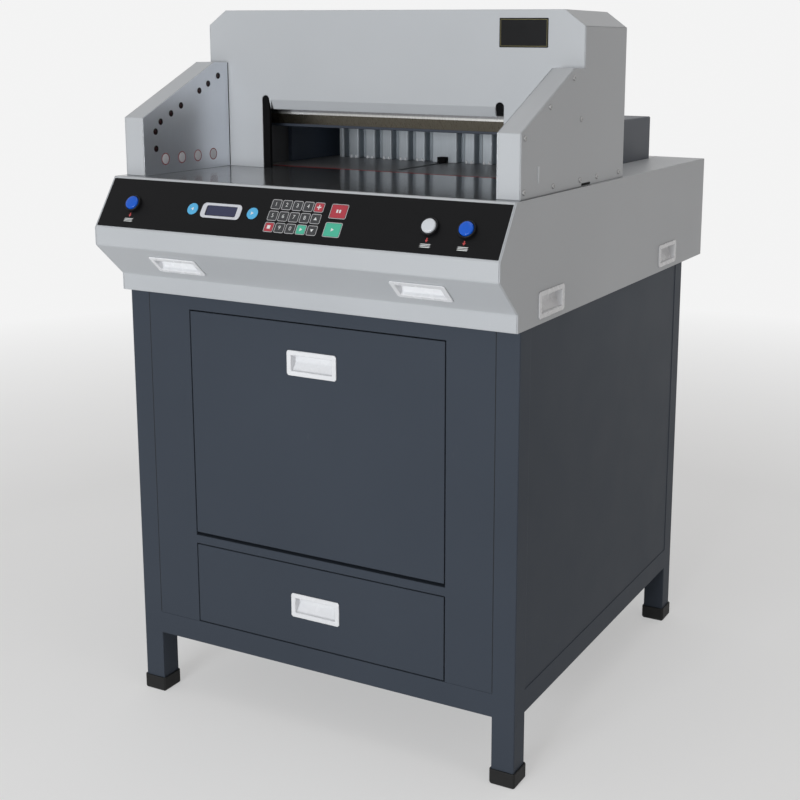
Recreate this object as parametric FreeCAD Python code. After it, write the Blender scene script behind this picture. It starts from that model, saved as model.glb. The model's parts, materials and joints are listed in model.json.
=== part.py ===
import FreeCAD, Part
import math
import os

# Electric paper cutter: a guillotine head on a sheet-metal base housing, on a cabinet stand.
# X runs to the operator's right, Y to the back, Z up. The origin is on the floor, under the
# middle of the machine's outline. All sizes are in millimetres.

# Base housing: profile of its bent front, from the table's edge downwards
HOUSING_W = 752.0
MACHINE_D = 952.0
HOUSING_SHEET = 2.0
BEND_R = 5.0
PANEL_RUN = 53.6
PANEL_DROP = 81.0
BAND_H = 29.5
UNDER_RUN = 63.0
UNDER_DROP = 57.0
BASE_BAND_H = 28.5
BASE_FLANGE = 42.0
FRONT_LIP = 7.0
SIDE_LIP = 12.0
REAR_LIP = 4.0
BASE_PLATE_T = 8.0

# Cabinet stand, set in from the housing above it
CAB_SIDE_IN = 3.0
CAB_FRONT_IN = 79.0
CAB_REAR_IN = 111.0
LEG = 40.0
TUBE_WALL = 2.5
FOOT_PAD = 8.0
FOOT_CAP_H = 27.0
FOOT_CAP_WALL = 3.0
FOOT_CHAMFER = 3.0
LOWER_RAIL_Z = 116.0
UPPER_RAIL = 24.0
STAND_H = 749.0
CAB_SHEET = 1.5
PANEL_RECESS = 1.0
PANEL_FLANGE = 12.0
PLATE_RETURN = 16.0

# Door and drawer of the cabinet
BAY_W = 495.0
DOOR_TOP_BAR = 25.0
DOOR_OPENING_H = 404.0
BAY_BAR = 15.0
BAY_GAP = 2.0
DOOR_BOTTOM_GAP = 6.0
DOOR_DEPTH = 18.0
HINGE_SET_IN = 10.0
HINGE_RISE = 8.0
HINGE_PIN_R = 4.0
HINGE_PIN_L = 11.0
SHELF_DROP = 12.0
TRAY_L = 420.0
TRAY_HEADROOM = 24.0
TRAY_WALL = 1.2
TRAY_RIM = 9.0
RAIL_LIP = 8.0
RAIL_END_IN = 33.0
RUNNER_GAP = 0.5

# Flush pulls
PULL_W = 96.0
PULL_H = 43.0
PULL_FLANGE_T = 2.5
PULL_FLANGE = 6.0
PULL_WALL = 2.5
PULL_DEPTH = 14.0
PULL_CORNER = 3.0
FRONT_PULL_IN = 146.0
SIDE_PULL_FRONT_IN = 184.0
SIDE_PULL_REAR_IN = 216.0
SIDE_PULL_Z = 30.0
DOOR_PULL_DROP = 70.0

# Control panel on the slope; heights are measured up the slope from its lower edge
OVERLAY_T = 1.0
OVERLAY_MARGIN = 4.0
CONTROL_S = 47.0
CUT_BUTTON_IN = 65.0
RESET_BUTTON_IN = 127.0
BUTTON_R = 12.0
BUTTON_CROWN = 1.6
BUTTON_TRAVEL = 4.0
COLLAR_R = 14.5
COLLAR_H = 6.0
COLLAR_BARREL_R = 13.2
COLLAR_BARREL_L = 16.0
BARREL_HOLE_GAP = 0.5
CONTROL_HOLE_DEPTH = 20.0
WINDOW_SUNK = 0.2
SLIDE_FIT = 0.06
SCREEN_X = -132.0
SCREEN_W = 58.0
SCREEN_H = 17.0
DISPLAY_RIM = 9.0
DISPLAY_T = 8.0

# Cutting head
HEAD_SIDE_IN = 6.0
HEAD_ROOM = 30.8
HEAD_D = 183.0
HEAD_SETBACK = 314.6
HEAD_SHEET = 1.5
CHAMFER_W = 37.0
CHAMFER_H = 26.4
OPENING_IN = 44.0
OPENING_SHIFT = 4.5
OPENING_H = 122.5
LIP_H = 17.0
LIP_RUN = 8.5
LIP_INSET_L = 19.0
LIP_INSET_R = 16.0
NOTCH_R = 7.5
STRIP_W = 25.0
STRIP_T = 6.0
STRIP_SHOW = 14.5

# Guard arms beside the front table
GUARD_T = 39.5
GUARD_FRONT_IN = 24.0
GUARD_FRONT_H = 97.2
GUARD_TOP_H = 187.8
GUARD_TOP_RUN = 41.4
BEAM_HOLE_R = 5.0
BEAM_START_IN = 45.0
BEAM_START_DOWN = 8.2
BEAM_STEPS = (0, 31, 61, 118, 146, 178)
BEAM_FRONT_IN = 31.0
BEAM_FRONT_DROPS = (16, 45)
BEAM_BAR_T = 18.0
BEAM_BAR_HALF = 8.7
COVER_SCREW_R = 4.5
COVER_SCREW_H = 2.0
COVER_SCREW_IN = 11.0
COVER_SCREW_SHARES = (0.04, 0.5, 0.96)
FOOT_BOLT_R = 4.5
HOLE_SIDES = 12
SMALL_SIDES = 8
COLLAR_SIDES = 24

# Table
TABLE_T = 12.0
TABLE_GAP = 0.3
STICK_W = 12.0
STICK_H = 8.0
GAUGE_SLOT_W = 12.0

# Side frames and crossbeam
FRAME_T = 22.0
FRAME_IN_FROM_LEFT = 74.0
FRAME_IN_FROM_RIGHT = 94.0
FRAME_REAR_GAP = 4.3
FRAME_FOOT_SPREAD = 45.0
FRAME_FOOT_T = 14.0
FRAME_FOOT_W = 40.0
FRAME_TOP_GAP = 30.0
TABLE_ARM_L = 200.0
TABLE_LEDGE = 16.0
BEAM_H = 64.0
BEAM_D = 64.0
BEAM_WEB = 18.0
BEAM_SETBACK = 1.0
BEAM_FLANGE = 14.0
BEAM_RIBS = 5

# Knife, carrier and drive
KNIFE_OVERLAP = 17.0
KNIFE_T = 12.0
KNIFE_H = 100.0
BEVEL_H = 18.0
EDGE_LAND = 0.4
EDGE_ABOVE_CLAMP = 5.0
EDGE_STOP = 0.4
KNIFE_SIDE_SHIFT = 24.0
CARRIER_T = 26.0
CARRIER_LIFT = 29.0
CARRIER_WALL = 8.0
CARRIER_MID_H = 96.0
CARRIER_SHOULDER = 28.0
BLOCK_L = 44.0
BLOCK_W = 18.0
BLOCK_CHAMFER = 4.0
GUIDE_GAP = 0.3
KNIFE_BOLTS = 5
KNIFE_BOLT_END_IN = 51.0
KNIFE_BOLT_RISE = 72.0
KNIFE_BOLT_HEAD_R = 8.0
KNIFE_BOLT_HEAD_H = 8.0
BOLT_CHANNEL_GAP = 2.0
ROD_T = 12.0
ROD_W = 16.0
ROD_PIN_R = 6.0
ROD_EYE_R = 10.0
KEEPER_T = 2.0
ROD_SIDE_GAP = 40.0
ROD_TOP_RISE = 24.0
CRANK_PIN_GAP = 1.8
CRANK_RISE = 71.0
CRANK_EYE_R = 14.0
CRANK_PIN_R = 8.0
CRANK_DISC_T = 10.0
CRANK_RIM = 5.0
CRANK_SHAFT_R = 15.0
CRANK_BOSS_R = 26.0
CRANK_SHAFT_L = 70.0
GEARBOX_W = 80.0
GEARBOX_D = 120.0
GEARBOX_H = 140.0
GEARBOX_GAP = 6.0
GEARBOX_CHAMFER = 12.0
MOTOR_R = 42.0
MOTOR_L = 190.0
MOTOR_LIFT = 8.0
MOTOR_FOOT_H = 14.0
MOTOR_FOOT_IN = 35.0

# Clamp
CLAMP_OPEN = 73.0
CLAMP_T = 40.0
CLAMP_H = 74.0
CLAMP_FOOT_H = 24.0
CLAMP_WEB = 14.0
CLAMP_BOSS_R = 22.0
CLAMP_BOSS_GAP = 12.4
CLAMP_END_GAP = 0.5
KNIFE_CLAMP_GAP = 1.5
SPINDLE_R = 10.0
SPINDLE_HEAD_R = 16.0
CLAMP_RIBS = 7
CLAMP_RIB_IN = 6.0
NUT_FLOOR = 4.0
NOTCH_GAP = 1.0
CLAMP_DRIVE_LIFT = 2.0
CLAMP_DRIVE_HALF = 26.0
CLAMP_DRIVE_H = 26.0
CLAMP_MOTOR_R = 12.0
CLAMP_MOTOR_L = 110.0

# Back gauge
GAUGE_SIDE_IN = 34.0
GAUGE_H = 68.0
GAUGE_D = 45.0
GAUGE_WALL = 8.0
GAUGE_LIFT = 0.4
GAUGE_RIBS = 7
GAUGE_RIB_T = 6.0
CUT_DEPTH = 215.0
CUT_DEPTH_MIN = 59.0
GAUGE_END_GAP = 2.9
GAUGE_DRIVE_SHIFT = 14.0
FINGER_PITCH = 37.5
FINGER_W = 22.0
FINGER_T = 20.0
WIDE_FINGER_W = 54.0
FINGER_NOSE = 2.0
PUSHER_W = 16.0
PUSHER_L = 14.0
PUSHER_H = 11.0
SCREW_R = 8.0
SCREW_DROP = 40.0
GUIDE_ROD_R = 8.0
GUIDE_ROD_PITCH = 180.0
CARRIAGE_H = 34.0
CARRIAGE_L = 44.0
BRACKET_T = 12.0
GAUGE_MOTOR_R = 26.0
GAUGE_MOTOR_L = 100.0
GAUGE_FLANGE_T = 8.0
CARRIAGE_CHAMFER = 6.0
LAY_T = 8.0
LAY_H = 82.0
LAY_SETBACK = 137.0
REAR_DECK_D = 59.4
REAR_COVER_H = 84.0
REAR_COVER_SIDE = 2.0
VENTS = 4
VENT_W = 90.0
VENT_H = 5.0
VENT_PITCH = 14.0
VENT_RISE = 60.0

# Electrics
CONTROL_BOX_W = 160.0
CONTROL_BOX_D = 120.0
CONTROL_BOX_H = 60.0
ENTRY_W = 78.0
ENTRY_H = 34.0
ENTRY_PROUD = 2.0
ENTRY_RIM = 4.0
ENTRY_DEPTH = 18.0
ENTRY_WALL = 3.0
ENTRY_DROP = 30.0
SOCKET_X = -15.0
SOCKET_W = 27.0
SOCKET_H = 19.0
SOCKET_CORNER = 4.0
PIN_SPREAD = 7.0
PIN_SHIFT = 3.0
PIN_SUNK = 2.0
ROCKER_X = 20.0
ROCKER_W = 12.0
ROCKER_L = 20.0
ROCKER_GAP = 1.2
ROCKER_PIVOT = 6.0
ROCKER_PIN_R = 1.5
ROCKER_DISH = 1.0
ROCKER_TILT = 9.0

# Widths that follow from the sizes above
HEAD_W = HOUSING_W - 2 * HEAD_SIDE_IN
CAB_W = HOUSING_W - 2 * CAB_SIDE_IN
FRAME_IN_L = -HEAD_W / 2 + FRAME_IN_FROM_LEFT
FRAME_IN_R = HEAD_W / 2 - FRAME_IN_FROM_RIGHT
FRAME_GAP = FRAME_IN_R - FRAME_IN_L
THROAT_X = (FRAME_IN_L + FRAME_IN_R) / 2
OPENING_W = FRAME_GAP - 2 * OPENING_IN
KNIFE_L = OPENING_W + 2 * KNIFE_OVERLAP
GAUGE_W = FRAME_GAP - 2 * GAUGE_SIDE_IN
GAUGE_DRIVE_X = THROAT_X - GAUGE_DRIVE_SHIFT
ROD_TOP_X = FRAME_IN_R + ROD_SIDE_GAP
ROD_FOOT_X = ROD_TOP_X + KNIFE_SIDE_SHIFT / 2
CRANK_DISC_X = FRAME_IN_R + FRAME_T + 1
CUT_BUTTON_X = HOUSING_W / 2 - CUT_BUTTON_IN
RESET_BUTTON_X = HOUSING_W / 2 - RESET_BUTTON_IN
FRONT_PULL_X = HOUSING_W / 2 - FRONT_PULL_IN
WALL_X = HOUSING_W / 2 - HOUSING_SHEET

# Depths
FRONT_Y = -MACHINE_D / 2
REAR_Y = MACHINE_D / 2 - ENTRY_PROUD
CAB_FRONT = FRONT_Y + CAB_FRONT_IN
CAB_REAR = REAR_Y - CAB_REAR_IN
PANEL_TOP_Y = FRONT_Y + PANEL_RUN
UNDER_Y = FRONT_Y + UNDER_RUN
HEAD_FRONT = FRONT_Y + HEAD_SETBACK
HEAD_REAR = HEAD_FRONT + HEAD_D
GUARD_FRONT = PANEL_TOP_Y + GUARD_FRONT_IN
CARRIER_FRONT = HEAD_FRONT + HEAD_SHEET + LIP_RUN + 2 * GUIDE_GAP
CARRIER_REAR = CARRIER_FRONT + CARRIER_T
KNIFE_BACK = CARRIER_REAR + KNIFE_T
FRAME_FRONT = CARRIER_REAR + 2 * GUIDE_GAP
FRAME_REAR = HEAD_REAR - HEAD_SHEET - FRAME_REAR_GAP
CLAMP_FRONT = KNIFE_BACK + KNIFE_CLAMP_GAP
CLAMP_REAR = CLAMP_FRONT + CLAMP_T
CLAMP_MID_Y = (CLAMP_FRONT + CLAMP_REAR) / 2
BEAM_FRONT = CLAMP_FRONT + BEAM_SETBACK
CRANK_Y = FRAME_FRONT + ROD_T / 2
REAR_COVER_Y1 = REAR_Y - REAR_DECK_D
GAUGE_Y = KNIFE_BACK + CUT_DEPTH
GAUGE_FORWARD = CUT_DEPTH - CUT_DEPTH_MIN
GAUGE_BACKWARD = REAR_COVER_Y1 - HEAD_SHEET - GAUGE_END_GAP - GAUGE_D - GAUGE_Y

# Heights
Z_UNDER = STAND_H + BASE_BAND_H
Z_BAND = Z_UNDER + UNDER_DROP
Z_PANEL = Z_BAND + BAND_H
TABLE_Z = Z_PANEL + PANEL_DROP
TABLE_UNDER = TABLE_Z - TABLE_T
DECK_Z = STAND_H + HOUSING_SHEET + BASE_PLATE_T
CLAMP_Z = TABLE_Z + CLAMP_OPEN
EDGE_LIFT = CLAMP_OPEN + EDGE_ABOVE_CLAMP
EDGE_Z = TABLE_Z + EDGE_LIFT

# The knife's diagonal stroke, and the carrier and head that it needs
KNIFE_DROP = EDGE_LIFT - EDGE_STOP
KNIFE_STROKE = math.hypot(KNIFE_DROP, KNIFE_SIDE_SHIFT)
STROKE_ANGLE = math.degrees(math.atan2(KNIFE_SIDE_SHIFT, KNIFE_DROP))
KNIFE_X0 = THROAT_X - KNIFE_L / 2 - KNIFE_SIDE_SHIFT / 2
CRANK_R = KNIFE_DROP / 2
STROKE_COS = math.cos(math.radians(STROKE_ANGLE))
STROKE_SIN = math.sin(math.radians(STROKE_ANGLE))
BLOCK_REACH_Z = (BLOCK_L * STROKE_COS + BLOCK_W * STROKE_SIN) / 2
BLOCK_REACH_X = (BLOCK_L * STROKE_SIN + BLOCK_W * STROKE_COS) / 2
BLOCK_XS = (FRAME_IN_L - FRAME_T / 2, FRAME_IN_R + FRAME_T / 2)
CARRIER_Z0 = EDGE_Z + CARRIER_LIFT
BLOCK_Z = CARRIER_Z0 + CARRIER_WALL + BLOCK_REACH_Z + GUIDE_GAP
CARRIER_TOP = BLOCK_Z + KNIFE_DROP + BLOCK_REACH_Z + GUIDE_GAP + CARRIER_WALL
KNIFE_BOLT_Z = EDGE_Z + KNIFE_BOLT_RISE
ROD_TOP_Z = CARRIER_Z0 + ROD_TOP_RISE
CRANK_Z = DECK_Z + CRANK_RISE
CRANK_TOP_Z = CRANK_Z + CRANK_R
HEAD_TOP = CARRIER_TOP + HEAD_ROOM
CHAMFER_Z = HEAD_TOP - CHAMFER_H
FRAME_TOP = HEAD_TOP - FRAME_TOP_GAP
BEAM_Z0 = FRAME_TOP - BEAM_H

# Slopes of the housing's front
SLOPE_L = math.hypot(PANEL_RUN, PANEL_DROP)
SLOPE_ANGLE = math.degrees(math.atan2(PANEL_DROP, PANEL_RUN))
UNDER_ANGLE = math.degrees(math.atan2(UNDER_DROP, -UNDER_RUN))


def vec(x, y, z):
    return FreeCAD.Vector(x, y, z)


def block(x0, x1, y0, y1, z0, z1):
    return Part.makeBox(x1 - x0, y1 - y0, z1 - z0, vec(x0, y0, z0))


def cyl_x(x0, x1, y, z, r):
    return Part.makeCylinder(r, x1 - x0, vec(x0, y, z), vec(1, 0, 0))


def cyl_y(y0, y1, x, z, r):
    return Part.makeCylinder(r, y1 - y0, vec(x, y0, z), vec(0, 1, 0))


def cyl_z(z0, z1, x, y, r):
    return Part.makeCylinder(r, z1 - z0, vec(x, y, z0), vec(0, 0, 1))


def span(a, b):
    """Both ends of a stretch in rising order, for pieces that are mirrored."""
    return min(a, b), max(a, b)


def facet_bar(start, direction, length, radius, sides):
    """Many-sided bar for the small screws and holes that repeat; sides 6 is a hexagon."""
    across = direction.cross(vec(direction.z, direction.x, direction.y)).normalize() * radius
    other = direction.cross(across)
    points = [start + across * math.cos(2 * math.pi * k / sides) + other * math.sin(2 * math.pi * k / sides)
              for k in range(sides)]
    return face_of(points).extrude(direction * length)


def pin_hole(start, direction, length, radius):
    """Many-sided hole whose flats just clear a round pin of this radius."""
    return facet_bar(start, direction, length, radius / math.cos(math.pi / HOLE_SIDES), HOLE_SIDES)


def face_of(points):
    return Part.Face(Part.makePolygon(points + [points[0]]))


def prism_x(outline, x0, x1):
    """Extrude a (y, z) outline along X."""
    return face_of([vec(x0, y, z) for y, z in outline]).extrude(vec(x1 - x0, 0, 0))


def prism_y(outline, y0, y1):
    """Extrude an (x, z) outline along Y."""
    return face_of([vec(x, y0, z) for x, z in outline]).extrude(vec(0, y1 - y0, 0))


def prism_z(outline, z0, z1):
    """Extrude an (x, y) outline along Z."""
    return face_of([vec(x, y, z0) for x, y in outline]).extrude(vec(0, 0, z1 - z0))


def fuse(shapes):
    body = shapes[0]
    if len(shapes) > 1:
        body = body.multiFuse(shapes[1:]).removeSplitter()
    return body.Solids[0] if len(body.Solids) == 1 else body


def cut(shape, tools):
    body = shape.cut(tools)
    return body.Solids[0] if len(body.Solids) == 1 else body


def group(shapes):
    return Part.makeCompound(shapes)


def edges_along(shape, axis, keep=None):
    """Straight edges parallel to an axis, for rounding."""
    found = []
    for edge in shape.Edges:
        if not isinstance(edge.Curve, (Part.Line, Part.LineSegment)) or edge.Length < 1e-6:
            continue
        direction = edge.tangentAt(edge.FirstParameter)
        if abs(abs(direction.dot(axis)) - 1) < 1e-6 and (keep is None or keep(edge.CenterOfMass)):
            found.append(edge)
    return found


X_AXIS, Y_AXIS, Z_AXIS = vec(1, 0, 0), vec(0, 1, 0), vec(0, 0, 1)


def moulded_pad(width, height, z0, z1, corner):
    """Rectangle with cut corners, centred on the local Z axis."""
    pad = block(-width / 2, width / 2, -height / 2, height / 2, z0, z1)
    return pad.makeChamfer(corner, edges_along(pad, Z_AXIS))


def placement(origin, x_dir, y_dir):
    """Place a local part so that its X and Y point along the given directions."""
    z_dir = x_dir.cross(y_dir)
    matrix = FreeCAD.Matrix(x_dir.x, y_dir.x, z_dir.x, origin.x,
                            x_dir.y, y_dir.y, z_dir.y, origin.y,
                            x_dir.z, y_dir.z, z_dir.z, origin.z,
                            0, 0, 0, 1)
    return FreeCAD.Placement(matrix)


def placed(shape, place):
    return shape.transformed(place.toMatrix(), True)


def incline(angle):
    """Unit vector in the YZ plane, at an angle from +Y."""
    return vec(0, math.cos(math.radians(angle)), math.sin(math.radians(angle)))


def slope_place(x, s):
    """On the control slope: x across, s up the slope from its lower edge."""
    up = incline(SLOPE_ANGLE)
    return placement(vec(x, FRONT_Y, Z_PANEL) + up * s, X_AXIS, up)


def front_place(x, y, z):
    return placement(vec(x, y, z), X_AXIS, Z_AXIS)


def side_place(side, y, z):
    """On a side wall: side is 1 on the right and -1 on the left."""
    return placement(vec(side * HOUSING_W / 2, y, z), Y_AXIS * side, Z_AXIS)


def under_place(x):
    """On the middle of the back-sloped underside of the front."""
    up = incline(UNDER_ANGLE)
    return placement(vec(x, UNDER_Y - UNDER_RUN / 2, Z_UNDER + UNDER_DROP / 2), X_AXIS, up)


PULL_CUP_W = PULL_W - 2 * PULL_FLANGE
PULL_CUP_H = PULL_H - 2 * PULL_FLANGE


def flush_pull():
    """Moulded finger cup with a flange; local Z points out of the panel, Y up."""
    flange = moulded_pad(PULL_W, PULL_H, 0, PULL_FLANGE_T, PULL_CORNER)
    cup = block(-PULL_CUP_W / 2, PULL_CUP_W / 2, -PULL_CUP_H / 2, PULL_CUP_H / 2, -PULL_DEPTH,
                PULL_FLANGE_T / 2)
    half = PULL_CUP_H / 2 - PULL_WALL
    floor = PULL_WALL - PULL_DEPTH
    outline = [(-half, PULL_FLANGE_T + 1), (-half, -PULL_DEPTH / 4), (0, floor), (half, floor),
               (half, PULL_FLANGE_T + 1)]
    width = PULL_CUP_W / 2 - PULL_WALL
    recess = prism_x(outline, -width, width)
    recess = recess.makeFillet(2 * PULL_WALL, edges_along(recess, X_AXIS, lambda c: abs(c.y) < half / 2))
    return cut(fuse([flange, cup]), [recess])


def pull_hole(sheet):
    """Cut-out for a pull through a sheet whose outer face is the local z = 0 plane."""
    grow = 2 * GUIDE_GAP
    return block(-PULL_CUP_W / 2 - GUIDE_GAP, PULL_CUP_W / 2 + GUIDE_GAP,
                 -PULL_CUP_H / 2 - GUIDE_GAP, PULL_CUP_H / 2 + GUIDE_GAP, -sheet - grow, grow)


def front_pull_places():
    return [under_place(x) for x in (-FRONT_PULL_X, FRONT_PULL_X)]


def side_pull_places():
    z = STAND_H + SIDE_PULL_Z
    ys = (FRONT_Y + SIDE_PULL_FRONT_IN, REAR_Y - SIDE_PULL_REAR_IN)
    return [side_place(side, y, z) for side in (-1, 1) for y in ys]


# Cabinet stand

LEG_X = CAB_W / 2 - LEG
LEG_Y_FRONT = CAB_FRONT + LEG
LEG_Y_REAR = CAB_REAR - LEG
RAIL_TOP = LOWER_RAIL_Z + LEG
BAY_TOP = STAND_H - DOOR_TOP_BAR
DOOR_HEAD = BAY_TOP - CAB_SHEET
DOOR_SILL = DOOR_HEAD - DOOR_OPENING_H
DRAWER_TOP = DOOR_SILL - BAY_BAR
SHELF_Z = DOOR_SILL - SHELF_DROP
HINGE_Y = CAB_FRONT + HINGE_SET_IN
DOOR_Z0 = DOOR_SILL + DOOR_BOTTOM_GAP
HINGE_Z = DOOR_Z0 + HINGE_RISE


def square_tube(x0, x1, y0, y1, z0, z1, along):
    """Tube let into its neighbours at both ends, and the longer core that hollows it."""
    t = TUBE_WALL
    spans = [(x0, x1), (y0, y1), (z0, z1)]
    outer = [(a - 2 * t, b + 2 * t) if k == along else (a, b) for k, (a, b) in enumerate(spans)]
    core = [(a - 3 * t, b + 3 * t) if k == along else (a + t, b - t) for k, (a, b) in enumerate(spans)]
    return [block(*(spans[0] + spans[1] + spans[2])) for spans in (outer, core)]


def stand_frame():
    """Welded tube frame: four square legs, lower rails flush with them, upper rails set in."""
    t = TUBE_WALL
    tubes = []
    legs = []
    for sx in (-1, 1):
        x0 = span(sx * LEG_X, sx * CAB_W / 2)[0]
        for y0 in (CAB_FRONT, LEG_Y_REAR):
            leg = block(x0, x0 + LEG, y0, y0 + LEG, FOOT_PAD, STAND_H)
            leg = leg.makeChamfer(t / 2, edges_along(leg, Z_AXIS, lambda c: abs(c.x) > LEG_X + t))
            core = block(x0 + t, x0 + LEG - t, y0 + t, y0 + LEG - t, FOOT_PAD - t, STAND_H - t)
            legs.append((leg, core))
        tubes.append(square_tube(x0, x0 + LEG, LEG_Y_FRONT, LEG_Y_REAR, LOWER_RAIL_Z, RAIL_TOP, 1))
        inner = sx * (CAB_W / 2 - PANEL_RECESS - CAB_SHEET)
        x1 = inner - sx * UPPER_RAIL
        tubes.append(square_tube(*span(inner, x1), LEG_Y_FRONT, LEG_Y_REAR, STAND_H - UPPER_RAIL,
                                 STAND_H, 1))
    front = CAB_FRONT + CAB_SHEET
    rear = CAB_REAR - PANEL_RECESS - CAB_SHEET
    top = STAND_H - UPPER_RAIL
    for y0, y1, z0, z1 in ((CAB_FRONT, LEG_Y_FRONT, LOWER_RAIL_Z, RAIL_TOP),
                           (LEG_Y_REAR, CAB_REAR, LOWER_RAIL_Z, RAIL_TOP),
                           (front, front + UPPER_RAIL, top, STAND_H),
                           (rear - UPPER_RAIL, rear, top, STAND_H)):
        tubes.append(square_tube(-LEG_X, LEG_X, y0, y1, z0, z1, 0))
    outsides = [outer for outer, core in legs + tubes]
    return cut(fuse(outsides), [core for outer, core in legs + tubes])


def foot_caps():
    """Rubber caps pushed over the leg ends, with chamfered corners and treads."""
    caps = []
    for sx in (-1, 1):
        for y0 in (CAB_FRONT, LEG_Y_REAR):
            x0 = span(sx * LEG_X, sx * CAB_W / 2)[0]
            cap = block(x0 - FOOT_CAP_WALL, x0 + LEG + FOOT_CAP_WALL, y0 - FOOT_CAP_WALL,
                        y0 + LEG + FOOT_CAP_WALL, 0, FOOT_CAP_H)
            cap = cap.makeChamfer(FOOT_CHAMFER, edges_along(cap, Z_AXIS))
            tread = [e for e in cap.Edges if abs(e.CenterOfMass.z) < 1e-6]
            cap = cap.makeChamfer(FOOT_CHAMFER, tread)
            caps.append(cut(cap, [block(x0, x0 + LEG, y0, y0 + LEG, FOOT_PAD, STAND_H)]))
    return group(caps)


def return_frame(x0, x1, z0, z1, bottom=True):
    """Flanges bent back round an opening in the front plate."""
    y0, y1, t = CAB_FRONT, CAB_FRONT + PLATE_RETURN, CAB_SHEET
    sides = [block(x0 - t, x0, y0, y1, z0 - t if bottom else z0, z1 + t),
             block(x1, x1 + t, y0, y1, z0 - t if bottom else z0, z1 + t),
             block(x0, x1, y0, y1, z1, z1 + t)]
    if bottom:
        sides.append(block(x0, x1, y0, y1, z0 - t, z0))
    return sides


def hinge_holes(radius):
    half = BAY_W / 2
    return [pin_hole(vec(-half - HINGE_PIN_L, HINGE_Y, HINGE_Z), X_AXIS, BAY_W + 2 * HINGE_PIN_L, radius)]


def front_frame_plate():
    """Sheet between the front legs, open for the door above and the drawer below."""
    half = BAY_W / 2
    plate = block(-LEG_X, LEG_X, CAB_FRONT, CAB_FRONT + CAB_SHEET, RAIL_TOP, STAND_H)
    door = block(-half, half, CAB_FRONT - 1, CAB_REAR, DOOR_SILL, DOOR_HEAD)
    drawer = block(-half, half, CAB_FRONT - 1, CAB_REAR, RAIL_TOP - 1, DRAWER_TOP)
    plate = cut(plate, [door, drawer])
    returns = return_frame(-half, half, DOOR_SILL, DOOR_HEAD)
    returns += return_frame(-half, half, RAIL_TOP, DRAWER_TOP, bottom=False)
    return cut(fuse([plate] + returns), hinge_holes(HINGE_PIN_R + SLIDE_FIT))


def pan(half, z0, z1):
    """Folded sheet pan in the front plane with a flange all round, open at the back."""
    t = CAB_SHEET
    face = block(-half, half, CAB_FRONT, CAB_FRONT + DOOR_DEPTH, z0, z1)
    return cut(face, [block(-half + t, half - t, CAB_FRONT + t, CAB_FRONT + DOOR_DEPTH + 1,
                            z0 + t, z1 - t)])


def side_panels():
    """Left and right wall pans, set back between the legs and standing on the lower rails."""
    panels = []
    for sx in (-1, 1):
        outer = sx * (CAB_W / 2 - PANEL_RECESS)
        inner = outer - sx * CAB_SHEET
        sheet = block(*span(outer, inner), LEG_Y_FRONT, LEG_Y_REAR, RAIL_TOP, STAND_H)
        x0, x1 = span(outer, outer - sx * PANEL_FLANGE)
        foot = block(x0, x1, LEG_Y_FRONT, LEG_Y_REAR, RAIL_TOP, RAIL_TOP + CAB_SHEET)
        ends = [block(x0, x1, y, y + CAB_SHEET, RAIL_TOP, STAND_H - UPPER_RAIL)
                for y in (LEG_Y_FRONT, LEG_Y_REAR - CAB_SHEET)]
        panels.append(fuse([sheet, foot] + ends))
    return group(panels)


def rear_panel():
    outer = CAB_REAR - PANEL_RECESS
    sheet = block(-LEG_X, LEG_X, outer - CAB_SHEET, outer, RAIL_TOP, STAND_H)
    foot = block(-LEG_X, LEG_X, outer - PANEL_FLANGE, outer, RAIL_TOP, RAIL_TOP + CAB_SHEET)
    ends = [block(x, x + CAB_SHEET, outer - PANEL_FLANGE, outer, RAIL_TOP, STAND_H - UPPER_RAIL)
            for x in (-LEG_X, LEG_X - CAB_SHEET)]
    return fuse([sheet, foot] + ends)


def cabinet_shelf():
    """Tray that floors the door bay and roofs the drawer bay, held at its upturned sides."""
    x = CAB_W / 2 - PANEL_RECESS - CAB_SHEET
    y0 = CAB_FRONT + PLATE_RETURN
    y1 = CAB_REAR - PANEL_RECESS - PANEL_FLANGE
    floor = block(-LEG_X, LEG_X, y0, y1, SHELF_Z, SHELF_Z + CAB_SHEET)
    ya, yb = LEG_Y_FRONT + CAB_SHEET, LEG_Y_REAR - CAB_SHEET
    wings = [block(*span(s * LEG_X, s * x), ya, yb, SHELF_Z, SHELF_Z + CAB_SHEET) for s in (-1, 1)]
    sides = [block(*span(s * (x - CAB_SHEET), s * x), ya, yb, SHELF_Z, SHELF_Z + PANEL_FLANGE)
             for s in (-1, 1)]
    back = block(-LEG_X + CAB_SHEET, LEG_X - CAB_SHEET, y1 - CAB_SHEET, y1, SHELF_Z,
                 SHELF_Z + PANEL_FLANGE)
    return fuse([floor, back] + wings + sides)


TRAY_X = BAY_W / 2 - BAY_GAP - TRAY_RIM - RUNNER_GAP
TRAY_Z0 = RAIL_TOP + 2 * BAY_GAP + TRAY_RIM / 2
TRAY_Y0 = CAB_FRONT + DOOR_DEPTH
TRAY_TOP = SHELF_Z - TRAY_HEADROOM


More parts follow.
